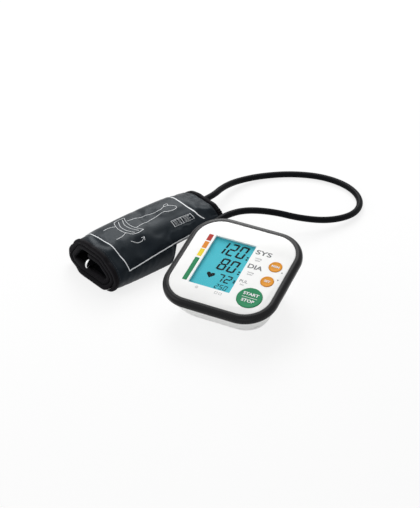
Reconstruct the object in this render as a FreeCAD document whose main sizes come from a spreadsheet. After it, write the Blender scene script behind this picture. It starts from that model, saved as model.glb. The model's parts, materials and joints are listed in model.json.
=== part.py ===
"""Upper-arm blood pressure monitor: table console, air hose and rolled cuff.

Row frame: the console stands on Z = 0 with the origin under the centre of its face, +X to its right,
+Y to its far edge and +Z up. The console's face leans towards the user, so what is fixed to the face is
drawn in a face frame: its origin is the centre of the face and its Z is the face's outward normal.
The cuff is drawn in a frame of its own: X across the roll, Y along the roll, Z up.
"""
import FreeCAD
import Part
import Sketcher

import math
import os

App = FreeCAD
Vec = App.Vector

SIZES = [
    # console: face and rim
    ("face_width", 120.0, "white face, side to side"),
    ("face_depth", 122.0, "white face, near edge to far edge"),
    ("face_corner", 29.4, "corner radius of the white face"),
    ("face_height", 52.0, "centre of the face above the table"),
    ("face_tilt", 11.4, "lean of the face towards the user, degrees"),
    ("panel_thickness", 2.2, "white front panel"),
    ("panel_edge", 0.6, "rounding of the front panel's edge"),
    ("rim_overhang", 7.5, "dark rim beyond the white face, all round"),
    ("rim_depth", 9.5, "dark rim, top to underside"),
    ("rim_top_round", 5.2, "rounding of the rim's outer top edge"),
    ("rim_low_round", 2.4, "rounding of the rim's outer lower edge"),
    ("rim_ledge", 2.5, "ledge under the panel's edge"),
    ("fit_gap", 0.15, "gap round a fixed part in its seat"),
    # display
    ("window_x", -12.0, "centre of the display window, left of the face's centre"),
    ("window_width", 49.6, "display window, side to side"),
    ("window_end", 23.75, "display window inside the face's ends"),
    ("lens_margin", 2.0, "clear lens beyond the window, all round"),
    ("lens_thickness", 1.2, "clear lens"),
    ("glass_thickness", 2.2, "liquid crystal glass"),
    ("light_thickness", 2.5, "backlight panel"),
    ("layer_gap", 0.2, "gap between the display's layers"),
    ("tray_wall", 1.8, "wall of the display tray"),
    ("tray_floor", 1.0, "floor of the display tray"),
    # buttons
    ("start_side", 23.6, "start button's centre inside the face's right edge"),
    ("start_near", 25.1, "start button's centre inside the face's near edge"),
    ("start_radius", 14.3, "start button"),
    ("set_rise", 28.5, "start button to set button, near to far"),
    ("small_pitch", 23.0, "set button to memory button"),
    ("small_side", 15.1, "small buttons' centres inside the face's right edge"),
    ("small_radius", 7.45, "the two small buttons"),
    ("button_gap", 0.3, "gap round a button in the panel"),
    ("button_rise", 0.7, "button above the face"),
    ("button_edge", 0.5, "rounding of a button's top edge"),
    ("button_travel", 0.8, "press of a button"),
    ("flange_width", 1.2, "button flange beyond the panel's hole"),
    ("flange_thickness", 1.0, "button flange"),
    ("stem_radius", 2.2, "button stem"),
    ("press_gap", 0.1, "stem to switch when fully pressed"),
    ("plunger_rise", 0.3, "switch plunger above its case"),
    ("plunger_radius", 1.7, "switch plunger"),
    ("switch_side", 6.0, "switch case, each side"),
    ("switch_height", 3.4, "switch case"),
    # main board
    ("board_drop", 12.0, "top of the main board below the face"),
    ("board_thickness", 1.6, "main board"),
    ("board_side", 12.0, "main board inside the face's sides"),
    ("board_end", 11.0, "main board inside the face's ends"),
    ("board_corner", 22.0, "corner radius of the main board"),
    ("board_screw_far_x", 34.0, "far board screws, off centre"),
    ("board_screw_far_inset", 5.0, "far board screws inside the board's edge"),
    ("board_screw_near_x", 16.0, "near board screws, off centre"),
    ("board_screw_near_inset", 4.0, "near board screws inside the board's edge"),
    ("board_boss_radius", 3.2, "boss under a board screw"),
    ("chip_side", 12.0, "control chip"),
    ("chip_x", 10.0, "control chip, right of centre"),
    ("chip_y", 28.0, "control chip, far side of centre"),
    ("chip_thickness", 1.6, "control chip"),
    ("buzzer_x", 28.0, "buzzer, right of centre"),
    ("buzzer_y", -14.0, "buzzer, near side of centre"),
    ("buzzer_radius", 6.0, "buzzer"),
    ("buzzer_height", 4.5, "buzzer"),
    # screws
    ("screw_radius", 1.25, "screw shank"),
    ("screw_head_radius", 2.6, "screw head"),
    ("screw_head_height", 1.6, "screw head"),
    ("board_screw_length", 8.0, "board screw under its head"),
    ("corner_screw_inset", 12.8, "housing screws inside the face's sides and ends"),
    ("corner_boss_radius", 4.6, "boss round a housing screw"),
    ("lug_height", 4.3, "screw lug under the rim"),
    ("screw_web", 6.0, "housing between a screw's head and the rim"),
    ("screw_bite", 3.6, "housing screw in the rim's lug"),
    ("screw_clearance", 0.1, "gap round a screw shank"),
    ("counterbore_gap", 0.5, "gap round a screw head"),
    ("through_length", 120.0, "length of cutters that run right through"),
    # lower housing
    ("housing_inset", 5.5, "white housing inside the rim's outline"),
    ("housing_wall", 2.2, "wall of the housing"),
    ("waist_height", 22.0, "middle of the bowl above the table"),
    ("waist_side", 2.5, "bowl at half height inside the face's sides"),
    ("waist_end", 5.5, "bowl at half height inside the face's ends"),
    ("waist_corner", 29.0, "corner radius of the bowl at half height"),
    ("waist_shift", 1.5, "bowl at half height, towards the far edge"),
    ("base_side", 12.0, "flat base inside the face's sides"),
    ("base_end", 17.5, "flat base inside the face's ends"),
    ("base_corner", 24.0, "corner radius of the base"),
    ("base_shift", 4.5, "centre of the base, towards the far edge"),
    # batteries and their door
    ("cell_radius", 5.25, "battery"),
    ("cell_length", 43.3, "battery without its pole"),
    ("pole_radius", 1.9, "battery pole"),
    ("pole_height", 1.2, "battery pole"),
    ("cell_pitch", 10.7, "battery to battery"),
    ("cell_count", 4, "batteries side by side"),
    ("cell_gap", 0.3, "gap round the batteries"),
    ("bay_margin", 1.6, "battery bay inside the base's far edge"),
    ("bay_wall", 1.6, "walls of the battery bay"),
    ("contact_room", 3.6, "room for a contact at each end of a battery"),
    ("contact_thickness", 0.4, "contact plates"),
    ("contact_height", 8.4, "contact plates"),
    ("leaf_width", 5.0, "spring leaf of a contact"),
    ("door_thickness", 1.6, "battery door"),
    ("door_lift", 0.2, "battery door above the table"),
    ("door_gap", 0.25, "gap round the battery door"),
    ("tongue_width", 1.2, "battery door's side tongues"),
    ("tongue_thickness", 0.8, "battery door's side tongues"),
    ("tongue_length", 34.0, "battery door's side tongues"),
    ("grip_count", 4, "grip grooves under the door"),
    ("grip_pitch", 2.4, "grip groove to grip groove"),
    ("grip_width", 1.0, "grip groove"),
    ("grip_depth", 0.5, "grip groove"),
    ("grip_length", 22.0, "grip groove"),
    # air system
    ("socket_run", 15.5, "air socket's end to the manifold"),
    ("air_y", 25.0, "manifold and air socket, far side of centre"),
    ("manifold_side", 12.4, "manifold block"),
    ("stub_radius", 1.9, "air stubs"),
    ("stub_length", 5.6, "air stubs"),
    ("tube_radius", 3.2, "inner air tubes, outside"),
    ("tube_gap", 0.05, "air tube round a stub"),
    ("pump_y", -18.0, "pump and motor, near side of centre"),
    ("pump_side", 26.0, "pump head, near to far and up"),
    ("pump_width", 18.0, "pump head, side to side"),
    ("motor_radius", 12.0, "pump motor"),
    ("motor_length", 30.0, "pump motor"),
    ("motor_cap_radius", 5.0, "end cap of the motor"),
    ("motor_cap_length", 1.6, "end cap of the motor"),
    ("cradle_width", 14.0, "rubber cradle, side to side"),
    ("cradle_depth", 26.0, "rubber cradle, near to far"),
    ("cradle_height", 10.0, "rubber cradle"),
    ("valve_run", 27.0, "manifold's centre to the release valve's centre"),
    ("valve_width", 14.0, "release valve, side to side"),
    ("valve_height", 15.0, "release valve"),
    ("sensor_side", 9.0, "pressure sensor"),
    ("sensor_thickness", 4.0, "pressure sensor"),
    ("sensor_neck", 4.0, "pressure sensor's stub"),
    ("socket_radius", 5.0, "air socket in the housing wall"),
    ("socket_flange", 1.2, "air socket's flange"),
    ("socket_depth", 12.0, "air socket's bore"),
    ("socket_floor", 2.0, "end wall of the air socket"),
    ("nozzle_radius", 2.6, "air plug's nozzle"),
    ("nozzle_gap", 0.05, "gap round the nozzle"),
    ("pad_radius", 7.6, "flat pad round the air socket"),
    ("pad_rise", 2.0, "flat pad beyond the bowl at half height"),
    ("pad_depth", 8.0, "boss behind the flat pad"),
    # air plug and hose
    ("plug_radius", 4.6, "elbow of the air plug"),
    ("plug_collar_radius", 5.6, "collar of the air plug"),
    ("plug_collar_length", 3.0, "collar of the air plug"),
    ("plug_reach", 7.3, "socket face to the elbow's centre"),
    ("plug_arm", 13.0, "elbow's centre to the hose"),
    ("plug_lift", 20.0, "rise of the elbow's arm, degrees"),
    ("plug_ring_length", 2.5, "ring at the hose end of the plug"),
    ("seat_gap", 0.3, "gap between parts that part company"),
    ("hose_radius", 3.9, "air hose, outside"),
    # cuff
    ("cuff_x", -130.4, "near lower edge of the rolled cuff"),
    ("cuff_y", -40.0, "near lower edge of the rolled cuff"),
    ("cuff_turn", -22.0, "cuff roll about the vertical, degrees"),
    ("cuff_length", 165.0, "roll, end to end"),
    ("strip_thickness", 5.6, "cuff strip with its bladder"),
    ("cloth_thickness", 1.4, "one face of the strip over the bladder"),
    ("turn_gap", 0.8, "gap between turns of the roll"),
    ("roll_height", 44.7, "roll, table to top"),
    ("right_shoulder", -27.0, "centre of the upper right turns"),
    ("right_foot", -14.55, "centre of the lower right turns"),
    ("right_ease", 4.0, "lower right turns, tighter than the upper ones"),
    ("left_shoulder", -50.0, "centre of the upper left turns"),
    ("left_foot", -65.6, "centre of the lower left turns"),
    ("left_ease", 8.0, "lower left turns, tighter than the upper ones"),
    ("inner_end", -43.0, "inner end of the strip"),
    ("flap_clearance", 0.4, "strip's outer end above the table"),
    ("binding_width", 3.5, "edge binding, along the roll"),
    ("bladder_margin", 12.0, "bladder inside the strip's edges"),
    ("bladder_gap", 0.1, "gap round the bladder"),
    ("hook_thickness", 0.6, "hook patch"),
    ("hook_height", 14.0, "hook patch"),
    ("hook_margin", 10.0, "hook patch inside the strip's edges"),
    ("ring_wire", 1.4, "radius of the metal bar"),
    ("ring_height", 13.6, "metal loop, over its two bars"),
    ("ring_overrun", 7.0, "metal loop beyond each end of the roll"),
    ("ring_gap", 0.2, "metal loop to the cloth"),
    ("ring_x", -40.0, "metal loop, across the roll"),
    ("port_radius", 5.0, "air port of the bladder"),
    ("port_x", -49.0, "air port, across the roll"),
    ("port_depth", 12.0, "air port inside the roll"),
    ("port_rise", 1.0, "air port beyond the roll's end"),
    ("sleeve_length", 20.0, "strain relief on the hose"),
    ("sleeve_end_radius", 4.2, "strain relief, thin end"),
]

# Points of the hose's route in the row frame, from the cuff's strain relief to the air plug.
# The first and last are set by the strain relief and the plug; runs between them meet in arcs.
HOSE_POINTS = [
    (-100.9, 163.8, 16.9),
    (-100.5, 188.0, 13.5),
    (-95.0, 216.0, 7.5),
    (-74.0, 244.5, 4.5),
    (-39.5, 267.0, 4.2),
    (0.0, 277.3, 4.2),
    (38.0, 269.5, 4.2),
    (61.5, 245.5, 4.5),
    (64.0, 213.5, 6.0),
    (43.5, 183.5, 10.0),
    (14.5, 162.5, 18.0),
    (-15.5, 148.0, 28.0),
    (-42.5, 127.5, 35.5),
    (-58.0, 103.0, 38.0),
    (-65.0, 78.0, 36.5),
    (-68.0, 56.0, 32.0),
]

doc = App.newDocument("BloodPressureMonitor")
sheet = doc.addObject("Spreadsheet::Sheet", "sizes")
for row, (alias, value, meaning) in enumerate(SIZES, start=1):
    sheet.set(f"A{row}", meaning)
    sheet.set(f"B{row}", str(value))
    sheet.setAlias(f"B{row}", alias)
doc.recompute()

NODES = []


class Dim:
    """A size that carries both its value and the sheet formula it comes from."""

    def __init__(self, value, text):
        self.value = value
        self.text = text

    def __float__(self):
        return float(self.value)

    def __neg__(self):
        return Dim(-self.value, f"-({self.text})")

    def __add__(self, other):
        other = dim(other)
        return Dim(self.value + other.value, f"({self.text} + {other.text})")

    def __sub__(self, other):
        other = dim(other)
        return Dim(self.value - other.value, f"({self.text} - {other.text})")

    def __mul__(self, other):
        other = dim(other)
        return Dim(self.value * other.value, f"({self.text} * {other.text})")

    def __truediv__(self, other):
        other = dim(other)
        return Dim(self.value / other.value, f"({self.text} / {other.text})")

    __radd__ = __add__

    def __rsub__(self, other):
        return dim(other) - self

    __rmul__ = __mul__


def dim(number):
    """Return a plain number as a Dim."""
    return number if isinstance(number, Dim) else Dim(number, repr(float(number)))


def size(alias):
    """The sheet's cell of that alias."""
    return Dim(float(sheet.get(alias)), f"sizes.{alias}")


def sine(degrees):
    return Dim(math.sin(math.radians(float(degrees))), f"sin({degrees.text} * 1 deg)")


def cosine(degrees):
    return Dim(math.cos(math.radians(float(degrees))), f"cos({degrees.text} * 1 deg)")


def bind(thing, **values):
    """Bind properties of an object to formulas; a double underscore stands for a dot."""
    for name, value in values.items():
        path = name.replace("__", ".")
        thing.setExpression(path, dim(value).text)


def place(thing, x=0, y=0, z=0):
    bind(thing, Placement__Base__x=x, Placement__Base__y=y, Placement__Base__z=z)
    return thing


def add(kind, name):
    return doc.addObject(kind, name)


def node(thing, label):
    """Name a finished sub-part."""
    thing.Label = label
    NODES.append(thing)
    return thing


# ---------------------------------------------------------------- primitives and booleans
TURNS = {
    "x": App.Rotation(Vec(0, 1, 0), 90),
    "-x": App.Rotation(Vec(0, 1, 0), -90),
    "y": App.Rotation(Vec(1, 0, 0), -90),
    "-y": App.Rotation(Vec(1, 0, 0), 90),
    "z": App.Rotation(),
    "-z": App.Rotation(Vec(1, 0, 0), 180),
}


def block(name, low, span):
    """A box from its low corner and its three sizes."""
    thing = add("Part::Box", name)
    bind(thing, Length=span[0], Width=span[1], Height=span[2])
    return place(thing, *low)


def centred_block(name, centre, low_z, span):
    """A box centred over a point, standing on a height."""
    low = (centre[0] - span[0] / 2, centre[1] - span[1] / 2, low_z)
    return block(name, low, span)


def rod(name, start, direction, radius, length):
    """A cylinder from the centre of its first end, along an axis."""
    thing = add("Part::Cylinder", name)
    bind(thing, Radius=radius, Height=length)
    thing.Placement = App.Placement(Vec(), TURNS[direction])
    return place(thing, *start)


def fuse(name, *shapes):
    thing = add("Part::MultiFuse", name)
    thing.Shapes = list(shapes)
    thing.Refine = True
    return thing


def cut(name, base, *tools):
    thing = add("Part::Cut", name)
    thing.Base = base
    thing.Tool = tools[0] if len(tools) == 1 else fuse(name + "_tools", *tools)
    return thing


def common(name, first, second):
    thing = add("Part::Common", name)
    thing.Base = first
    thing.Tool = second
    return thing


# ---------------------------------------------------------------- sketches and bodies
def draw_outline(sketch, width, depth, corner, x=None, y=None):
    """A rounded rectangle with its corner arcs tangent to its sides."""
    half_w, half_d, r = float(width) / 2, float(depth) / 2, float(corner)
    mid_x = float(x) if x is not None else 0.0
    mid_y = float(y) if y is not None else 0.0
    turns = [(1, -1, -90), (1, 1, 0), (-1, 1, 90), (-1, -1, 180)]
    arcs = []
    for side_x, side_y, start in turns:
        centre = Vec(mid_x + side_x * (half_w - r), mid_y + side_y * (half_d - r), 0)
        circle = Part.Circle(centre, Vec(0, 0, 1), r)
        arcs.append(Part.ArcOfCircle(circle, math.radians(start), math.radians(start + 90)))
    first_arc = sketch.GeometryCount
    for arc in arcs:
        sketch.addGeometry(arc, False)
    first_line = sketch.GeometryCount
    for index in range(4):
        ends = (arcs[index].EndPoint, arcs[(index + 1) % 4].StartPoint)
        sketch.addGeometry(Part.LineSegment(*ends), False)
    for index in range(4):
        line = first_line + index
        sketch.addConstraint(Sketcher.Constraint("Tangent", first_arc + index, 2, line, 1))
        sketch.addConstraint(Sketcher.Constraint("Tangent", line, 2, first_arc + (index + 1) % 4, 1))
        sketch.addConstraint(Sketcher.Constraint("Horizontal" if index % 2 else "Vertical", line))
    for index in range(1, 4):
        sketch.addConstraint(Sketcher.Constraint("Equal", first_arc, first_arc + index))
    drive(sketch, corner, "Radius", first_arc)
    drive(sketch, width, "DistanceX", first_line + 2, 1, first_line, 1)
    drive(sketch, depth, "DistanceY", first_line + 3, 1, first_line + 1, 1)
    locate(sketch, (first_arc, 3, first_arc + 2, 3), x, y)


def draw_rectangle(sketch, width, depth, x=None, y=None):
    half_w, half_d = float(width) / 2, float(depth) / 2
    mid_x = float(x) if x is not None else 0.0
    mid_y = float(y) if y is not None else 0.0
    corners = [Vec(mid_x + sx * half_w, mid_y + sy * half_d, 0)
               for sx, sy in ((1, -1), (1, 1), (-1, 1), (-1, -1))]
    first = sketch.GeometryCount
    for index in range(4):
        sketch.addGeometry(Part.LineSegment(corners[index], corners[(index + 1) % 4]), False)
    for index in range(4):
        following = first + (index + 1) % 4
        sketch.addConstraint(Sketcher.Constraint("Coincident", first + index, 2, following, 1))
        sketch.addConstraint(Sketcher.Constraint("Horizontal" if index % 2 else "Vertical", first + index))
    drive(sketch, width, "DistanceX", first + 2, 1, first, 1)
    drive(sketch, depth, "DistanceY", first + 3, 1, first + 1, 1)
    locate(sketch, (first, 1, first + 2, 1), x, y)


def draw_circle(sketch, radius, x, y):
    circle = sketch.addGeometry(Part.Circle(Vec(float(x), float(y), 0), Vec(0, 0, 1), float(radius)), False)
    drive(sketch, radius, "Radius", circle)
    drive(sketch, x, "DistanceX", -1, 1, circle, 3)
    drive(sketch, y, "DistanceY", -1, 1, circle, 3)


def drive(sketch, value, kind, *where):
    """Add a dimension bound to its formula."""
    index = sketch.addConstraint(Sketcher.Constraint(kind, *where, float(value)))
    name = f"size{index}"
    sketch.renameConstraint(index, name)
    sketch.setExpression(f"Constraints.{name}", dim(value).text)


def locate(sketch, opposite, x, y):
    """Centre a symmetric outline on the sketch's origin, or on a dimensioned point."""
    if x is None and y is None:
        sketch.addConstraint(Sketcher.Constraint("Symmetric", *opposite, -1, 1))
        return
    centre = sketch.addGeometry(Part.Point(Vec(float(x or 0), float(y or 0), 0)), True)
    sketch.addConstraint(Sketcher.Constraint("Symmetric", *opposite, centre, 1))
    if x is None:
        sketch.addConstraint(Sketcher.Constraint("PointOnObject", centre, 1, -2))
    else:
        drive(sketch, x, "DistanceX", -1, 1, centre, 1)
    if y is None:
        sketch.addConstraint(Sketcher.Constraint("PointOnObject", centre, 1, -1))
    else:
        drive(sketch, y, "DistanceY", -1, 1, centre, 1)


def body_sketch(body, name, level=0):
    """A sketch on the body's own XY plane, raised to a level."""
    sketch = body.newObject("Sketcher::SketchObject", name)
    plane = [part for part in body.Origin.OriginFeatures if part.Role == "XY_Plane"][0]
    sketch.AttachmentSupport = [(plane, "")]
    sketch.MapMode = "FlatFace"
    bind(sketch, AttachmentOffset__Base__z=level)
    return sketch


def pad(body, sketch, thickness, up=False):
    feature = body.newObject("PartDesign::Pad", sketch.Name + "_pad")
    feature.Profile = sketch
    feature.Reversed = not up
    bind(feature, Length=thickness)
    doc.recompute()
    return feature


def pocket(body, sketch, depth=None):
    """Cut downwards from the sketch, or right through."""
    volume = body.Shape.Volume
    feature = body.newObject("PartDesign::Pocket", sketch.Name + "_pocket")
    feature.Profile = sketch
    if depth is None:
        feature.Type = "ThroughAll"
    else:
        bind(feature, Length=depth)
    doc.recompute()
    if body.Shape.Volume > volume - 1e-6:
        raise RuntimeError(sketch.Name + " cuts nothing")
    return feature


def edges_at(shape, level, longer_than=0.0):
    """Names of the edges that lie flat at a level."""
    found = []
    for index, edge in enumerate(shape.Edges, start=1):
        box = edge.BoundBox
        if abs(box.ZMin - level) < 1e-4 and abs(box.ZMax - level) < 1e-4 and edge.Length > longer_than:
            found.append(f"Edge{index}")
    return found


def soften(body, level, radius, count=None):
    """Round the flat edges of the last feature at a level."""
    base = body.Tip
    names = edges_at(base.Shape, float(level))
    feature = body.newObject("PartDesign::Fillet", f"{body.Name}_round{len(body.Group)}")
    feature.Base = (base, names if count is None else names[:count])
    bind(feature, Radius=radius)
    doc.recompute()
    return feature


def on_face(thing):
    """Set a finished piece into the face frame."""
    thing.Placement = App.Placement(Vec(0, 0, float(face_height)), App.Rotation(Vec(1, 0, 0), float(face_tilt)))
    bind(thing, Placement__Base__z=face_height, Placement__Rotation__Angle=face_tilt)
    return thing


def new_body(name):
    return add("PartDesign::Body", name)


def plate(label, draw, level, thickness):
    """A flat piece in the face frame, down from a level, with the outline that draw adds."""
    body = new_body(label)
    sketch = body_sketch(body, label + "_outline", level)
    draw(sketch)
    pad(body, sketch, thickness)
    return node(on_face(body), label)


# ---------------------------------------------------------------- shared levels and places
face_height = size("face_height")
face_tilt = size("face_tilt")
fit_gap = size("fit_gap")
seat_gap = size("seat_gap")
panel_under = -size("panel_thickness")
window_x = size("window_x")
lens_top = panel_under
lens_under = lens_top - size("lens_thickness")
glass_top = lens_under - size("layer_gap")
glass_under = glass_top - size("glass_thickness")
light_top = glass_under - size("layer_gap")
light_under = light_top - size("light_thickness")
board_top = -size("board_drop")
board_under = board_top - size("board_thickness")
rim_under = -size("rim_depth")
lens_width = size("window_width") + size("lens_margin") * 2
window_depth = size("face_depth") - size("window_end") * 2
lens_depth = window_depth + size("lens_margin") * 2
start_x = size("face_width") / 2 - size("start_side")
start_y = size("start_near") - size("face_depth") / 2
set_y = start_y + size("set_rise")
small_x = size("face_width") / 2 - size("small_side")
board_width = size("face_width") - size("board_side") * 2
board_depth = size("face_depth") - size("board_end") * 2
waist_width = size("face_width") - size("waist_side") * 2
waist_depth = size("face_depth") - size("waist_end") * 2
base_width = size("face_width") - size("base_side") * 2
base_depth = size("face_depth") - size("base_end") * 2
base_far = size("base_shift") + base_depth / 2
pad_x = -(waist_width / 2 + size("pad_rise"))
screw_far_y = board_depth / 2 - size("board_screw_far_inset")
screw_near_y = size("board_screw_near_inset") - board_depth / 2
corner_screw_x = size("face_width") / 2 - size("corner_screw_inset")
corner_screw_y = size("face_depth") / 2 - size("corner_screw_inset")

BUTTONS = {
    "start": (start_x, start_y, size("start_radius")),
    "memory": (small_x, set_y + size("small_pitch"), size("small_radius")),
    "set": (small_x, set_y, size("small_radius")),
}
BOARD_SCREWS = [
    (size("board_screw_far_x"), screw_far_y),
    (-size("board_screw_far_x"), screw_far_y),
    (size("board_screw_near_x"), screw_near_y),
    (-size("board_screw_near_x"), screw_near_y),
]
CORNER_SCREWS = [(corner_screw_x * sx, corner_screw_y * sy)
                 for sx in (1, -1) for sy in (1, -1)]


# ---------------------------------------------------------------- console: face and rim
def build_face_panel():
    body = new_body("face_panel")
    outline = body_sketch(body, "panel_outline")
    draw_outline(outline, size("face_width"), size("face_depth"), size("face_corner"))
    pad(body, outline, size("panel_thickness"))
    soften(body, 0, size("panel_edge"))
    holes = body_sketch(body, "panel_holes")
    draw_rectangle(holes, size("window_width"), window_depth, window_x)
    for x, y, radius in BUTTONS.values():
        draw_circle(holes, radius + size("button_gap"), x, y)
    pocket(body, holes)
    node(on_face(body), "face_panel")


def build_rim_frame():
    overhang = size("rim_overhang")
    ring = new_body("rim_ring")
    outline = body_sketch(ring, "rim_outline")
    draw_outline(outline, size("face_width") + overhang * 2, size("face_depth") + overhang * 2,
                 size("face_corner") + overhang)
    pad(ring, outline, size("rim_depth"))
    soften(ring, 0, size("rim_top_round"))
    soften(ring, rim_under, size("rim_low_round"))
    seat = body_sketch(ring, "panel_seat")
    draw_outline(seat, size("face_width") + fit_gap * 2, size("face_depth") + fit_gap * 2,
                 size("face_corner") + fit_gap)
    pocket(ring, seat, size("panel_thickness"))
    ledge = size("rim_ledge")
    hole = body_sketch(ring, "rim_hole")
    draw_outline(hole, size("face_width") - ledge * 2, size("face_depth") - ledge * 2,
                 size("face_corner") - ledge)
    pocket(ring, hole)
    pieces = [ring]
    for index, (x, y) in enumerate(CORNER_SCREWS):
        pieces.append(rod(f"lug{index}", (x, y, rim_under), "z",
                          size("corner_boss_radius"), size("lug_height")))
    bores = [rod(f"lug_bore{index}", (x, y, rim_under), "z", size("screw_radius") + size("screw_clearance"),
                 size("screw_bite") + fit_gap)
             for index, (x, y) in enumerate(CORNER_SCREWS)]
    node(on_face(cut("rim_frame", fuse("rim_with_lugs", *pieces), *bores)), "rim_frame")


def build_display():
    def layer(label, width, depth, level, thickness):
        plate(label, lambda sketch: draw_rectangle(sketch, width, depth, window_x), level, thickness)

    layer("window_lens", lens_width, lens_depth, lens_top, size("lens_thickness"))
    layer("display_glass", lens_width, lens_depth, glass_top, size("glass_thickness"))
    layer("backlight_panel", lens_width, lens_depth, light_top, size("light_thickness"))
    wall = size("tray_wall")
    tray_width = lens_width + fit_gap * 2 + wall * 2
    tray_depth = lens_depth + fit_gap * 2 + wall * 2
    body = new_body("display_tray")
    outline = body_sketch(body, "tray_outline", glass_top)
    draw_rectangle(outline, tray_width, tray_depth, window_x)
    pad(body, outline, glass_top - board_top)
    seat = body_sketch(body, "tray_seat", glass_top)
    draw_rectangle(seat, tray_width - wall * 2, tray_depth - wall * 2, window_x)
    pocket(body, seat, glass_top - light_under)
    hollow = body_sketch(body, "tray_hollow", light_under - size("tray_floor"))
    draw_rectangle(hollow, tray_width - wall * 2, tray_depth - wall * 2, window_x)
    pocket(body, hollow)
    node(on_face(body), "display_tray")


def build_button(name, x, y, radius):
    body = new_body(name + "_button")
    cap = body_sketch(body, name + "_cap", size("button_rise"))
    draw_circle(cap, radius, x, y)
    flange_top = panel_under - seat_gap
    pad(body, cap, size("button_rise") - flange_top)
    soften(body, size("button_rise"), size("button_edge"))
    flange = body_sketch(body, name + "_flange", flange_top)
    draw_circle(flange, radius + size("button_gap") + size("flange_width"), x, y)
    pad(body, flange, size("flange_thickness"))
    flange_under = flange_top - size("flange_thickness")
    stem = body_sketch(body, name + "_stem", flange_under)
    draw_circle(stem, size("stem_radius"), x, y)
    pad(body, stem, flange_under - switch_top - size("button_travel") - size("press_gap"))
    node(on_face(body), name + "_button")


switch_top = board_top + size("switch_height") + size("plunger_rise")


def build_switch(name, x, y):
    side = size("switch_side")
    case = centred_block(name + "_case", (x, y), board_top, (side, side, size("switch_height")))
    plunger = rod(name + "_plunger", (x, y, board_top), "z", size("plunger_radius"),
                  size("switch_height") + size("plunger_rise"))
    node(on_face(fuse(name + "_switch", case, plunger)), name + "_switch")


def build_board():
    body = new_body("main_board")
    outline = body_sketch(body, "board_outline", board_top)
    draw_outline(outline, board_width, board_depth, size("board_corner"))
    pad(body, outline, size("board_thickness"))
    holes = body_sketch(body, "board_holes", board_top)
    for x, y in BOARD_SCREWS:
        draw_circle(holes, size("screw_radius") + size("screw_clearance"), x, y)
    pocket(body, holes)
    node(on_face(body), "main_board")
    side = size("chip_side")
    plate("control_chip",
          lambda sketch: draw_rectangle(sketch, side, side, size("chip_x"), size("chip_y")),
          board_under, size("chip_thickness"))
    plate("buzzer",
          lambda sketch: draw_circle(sketch, size("buzzer_radius"), size("buzzer_x"), size("buzzer_y")),
          board_under, size("buzzer_height"))
    screws = []
    for index, (x, y) in enumerate(BOARD_SCREWS):
        screws.append(rod(f"board_head{index}", (x, y, board_top), "z",
                          size("screw_head_radius"), size("screw_head_height")))
        screws.append(rod(f"board_shank{index}", (x, y, board_top + size("screw_head_height")), "-z",
                          size("screw_radius"), size("board_screw_length") + size("screw_head_height")))
    node(on_face(fuse("board_screws", *screws)), "board_screws")


# ---------------------------------------------------------------- console: lower housing
screw_seat = rim_under - size("screw_web")


def bowl_section(name, width, depth, corner, y, z, lean):
    """A closed outline of the bowl, on a plane that leans about X."""
    sketch = add("Sketcher::SketchObject", name)
    draw_outline(sketch, width, depth, corner)
    sketch.Placement = App.Placement(Vec(), App.Rotation(Vec(1, 0, 0), float(lean)))
    bind(sketch, Placement__Base__y=y, Placement__Base__z=z)
    if isinstance(lean, Dim):
        bind(sketch, Placement__Rotation__Angle=lean)
    return sketch


def bowl(name, wall, raise_top):
    """The bowl's solid: outer skin for wall 0, inner room for the wall's thickness."""
    overhang = size("rim_overhang") - size("housing_inset")
    top_drop = size("rim_depth") - raise_top
    top = bowl_section(name + "_top", size("face_width") + overhang * 2 - wall * 2,
                       size("face_depth") + overhang * 2 - wall * 2, size("face_corner") + overhang - wall,
                       top_drop * sine(face_tilt), face_height - top_drop * cosine(face_tilt), face_tilt)
    waist = bowl_section(name + "_waist", waist_width - wall * 2, waist_depth - wall * 2,
                         size("waist_corner") - wall, size("waist_shift"), size("waist_height"),
                         face_tilt / 2)
    base = bowl_section(name + "_base", base_width - wall * 2, base_depth - wall * 2,
                        size("base_corner") - wall, size("base_shift"), dim(0) + wall, 0)
    loft = add("Part::Loft", name)
    loft.Sections = [base, waist, top]
    loft.Solid = True
    return loft


bay_depth = size("cell_pitch") * size("cell_count") + size("cell_gap") * 2
bay_half = size("cell_length") / 2 + size("pole_height") / 2 + size("contact_room")
bay_start = base_far - size("bay_margin") - bay_depth
bay_end = bay_start + bay_depth
door_top = size("door_lift") + size("door_thickness")
door_room = door_top + size("door_gap")
cell_level = door_room + size("cell_radius") + fit_gap
bay_roof = cell_level + size("cell_radius") + size("cell_gap")
bay_top = bay_roof + size("bay_wall")
manifold_side = size("manifold_side")
socket_mouth = pad_x - size("socket_flange")
socket_end = socket_mouth + size("socket_depth") + size("socket_floor")
air_level = bay_top + fit_gap + manifold_side / 2
air_x = socket_end + size("socket_run") + manifold_side / 2
air_y = size("air_y")


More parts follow.
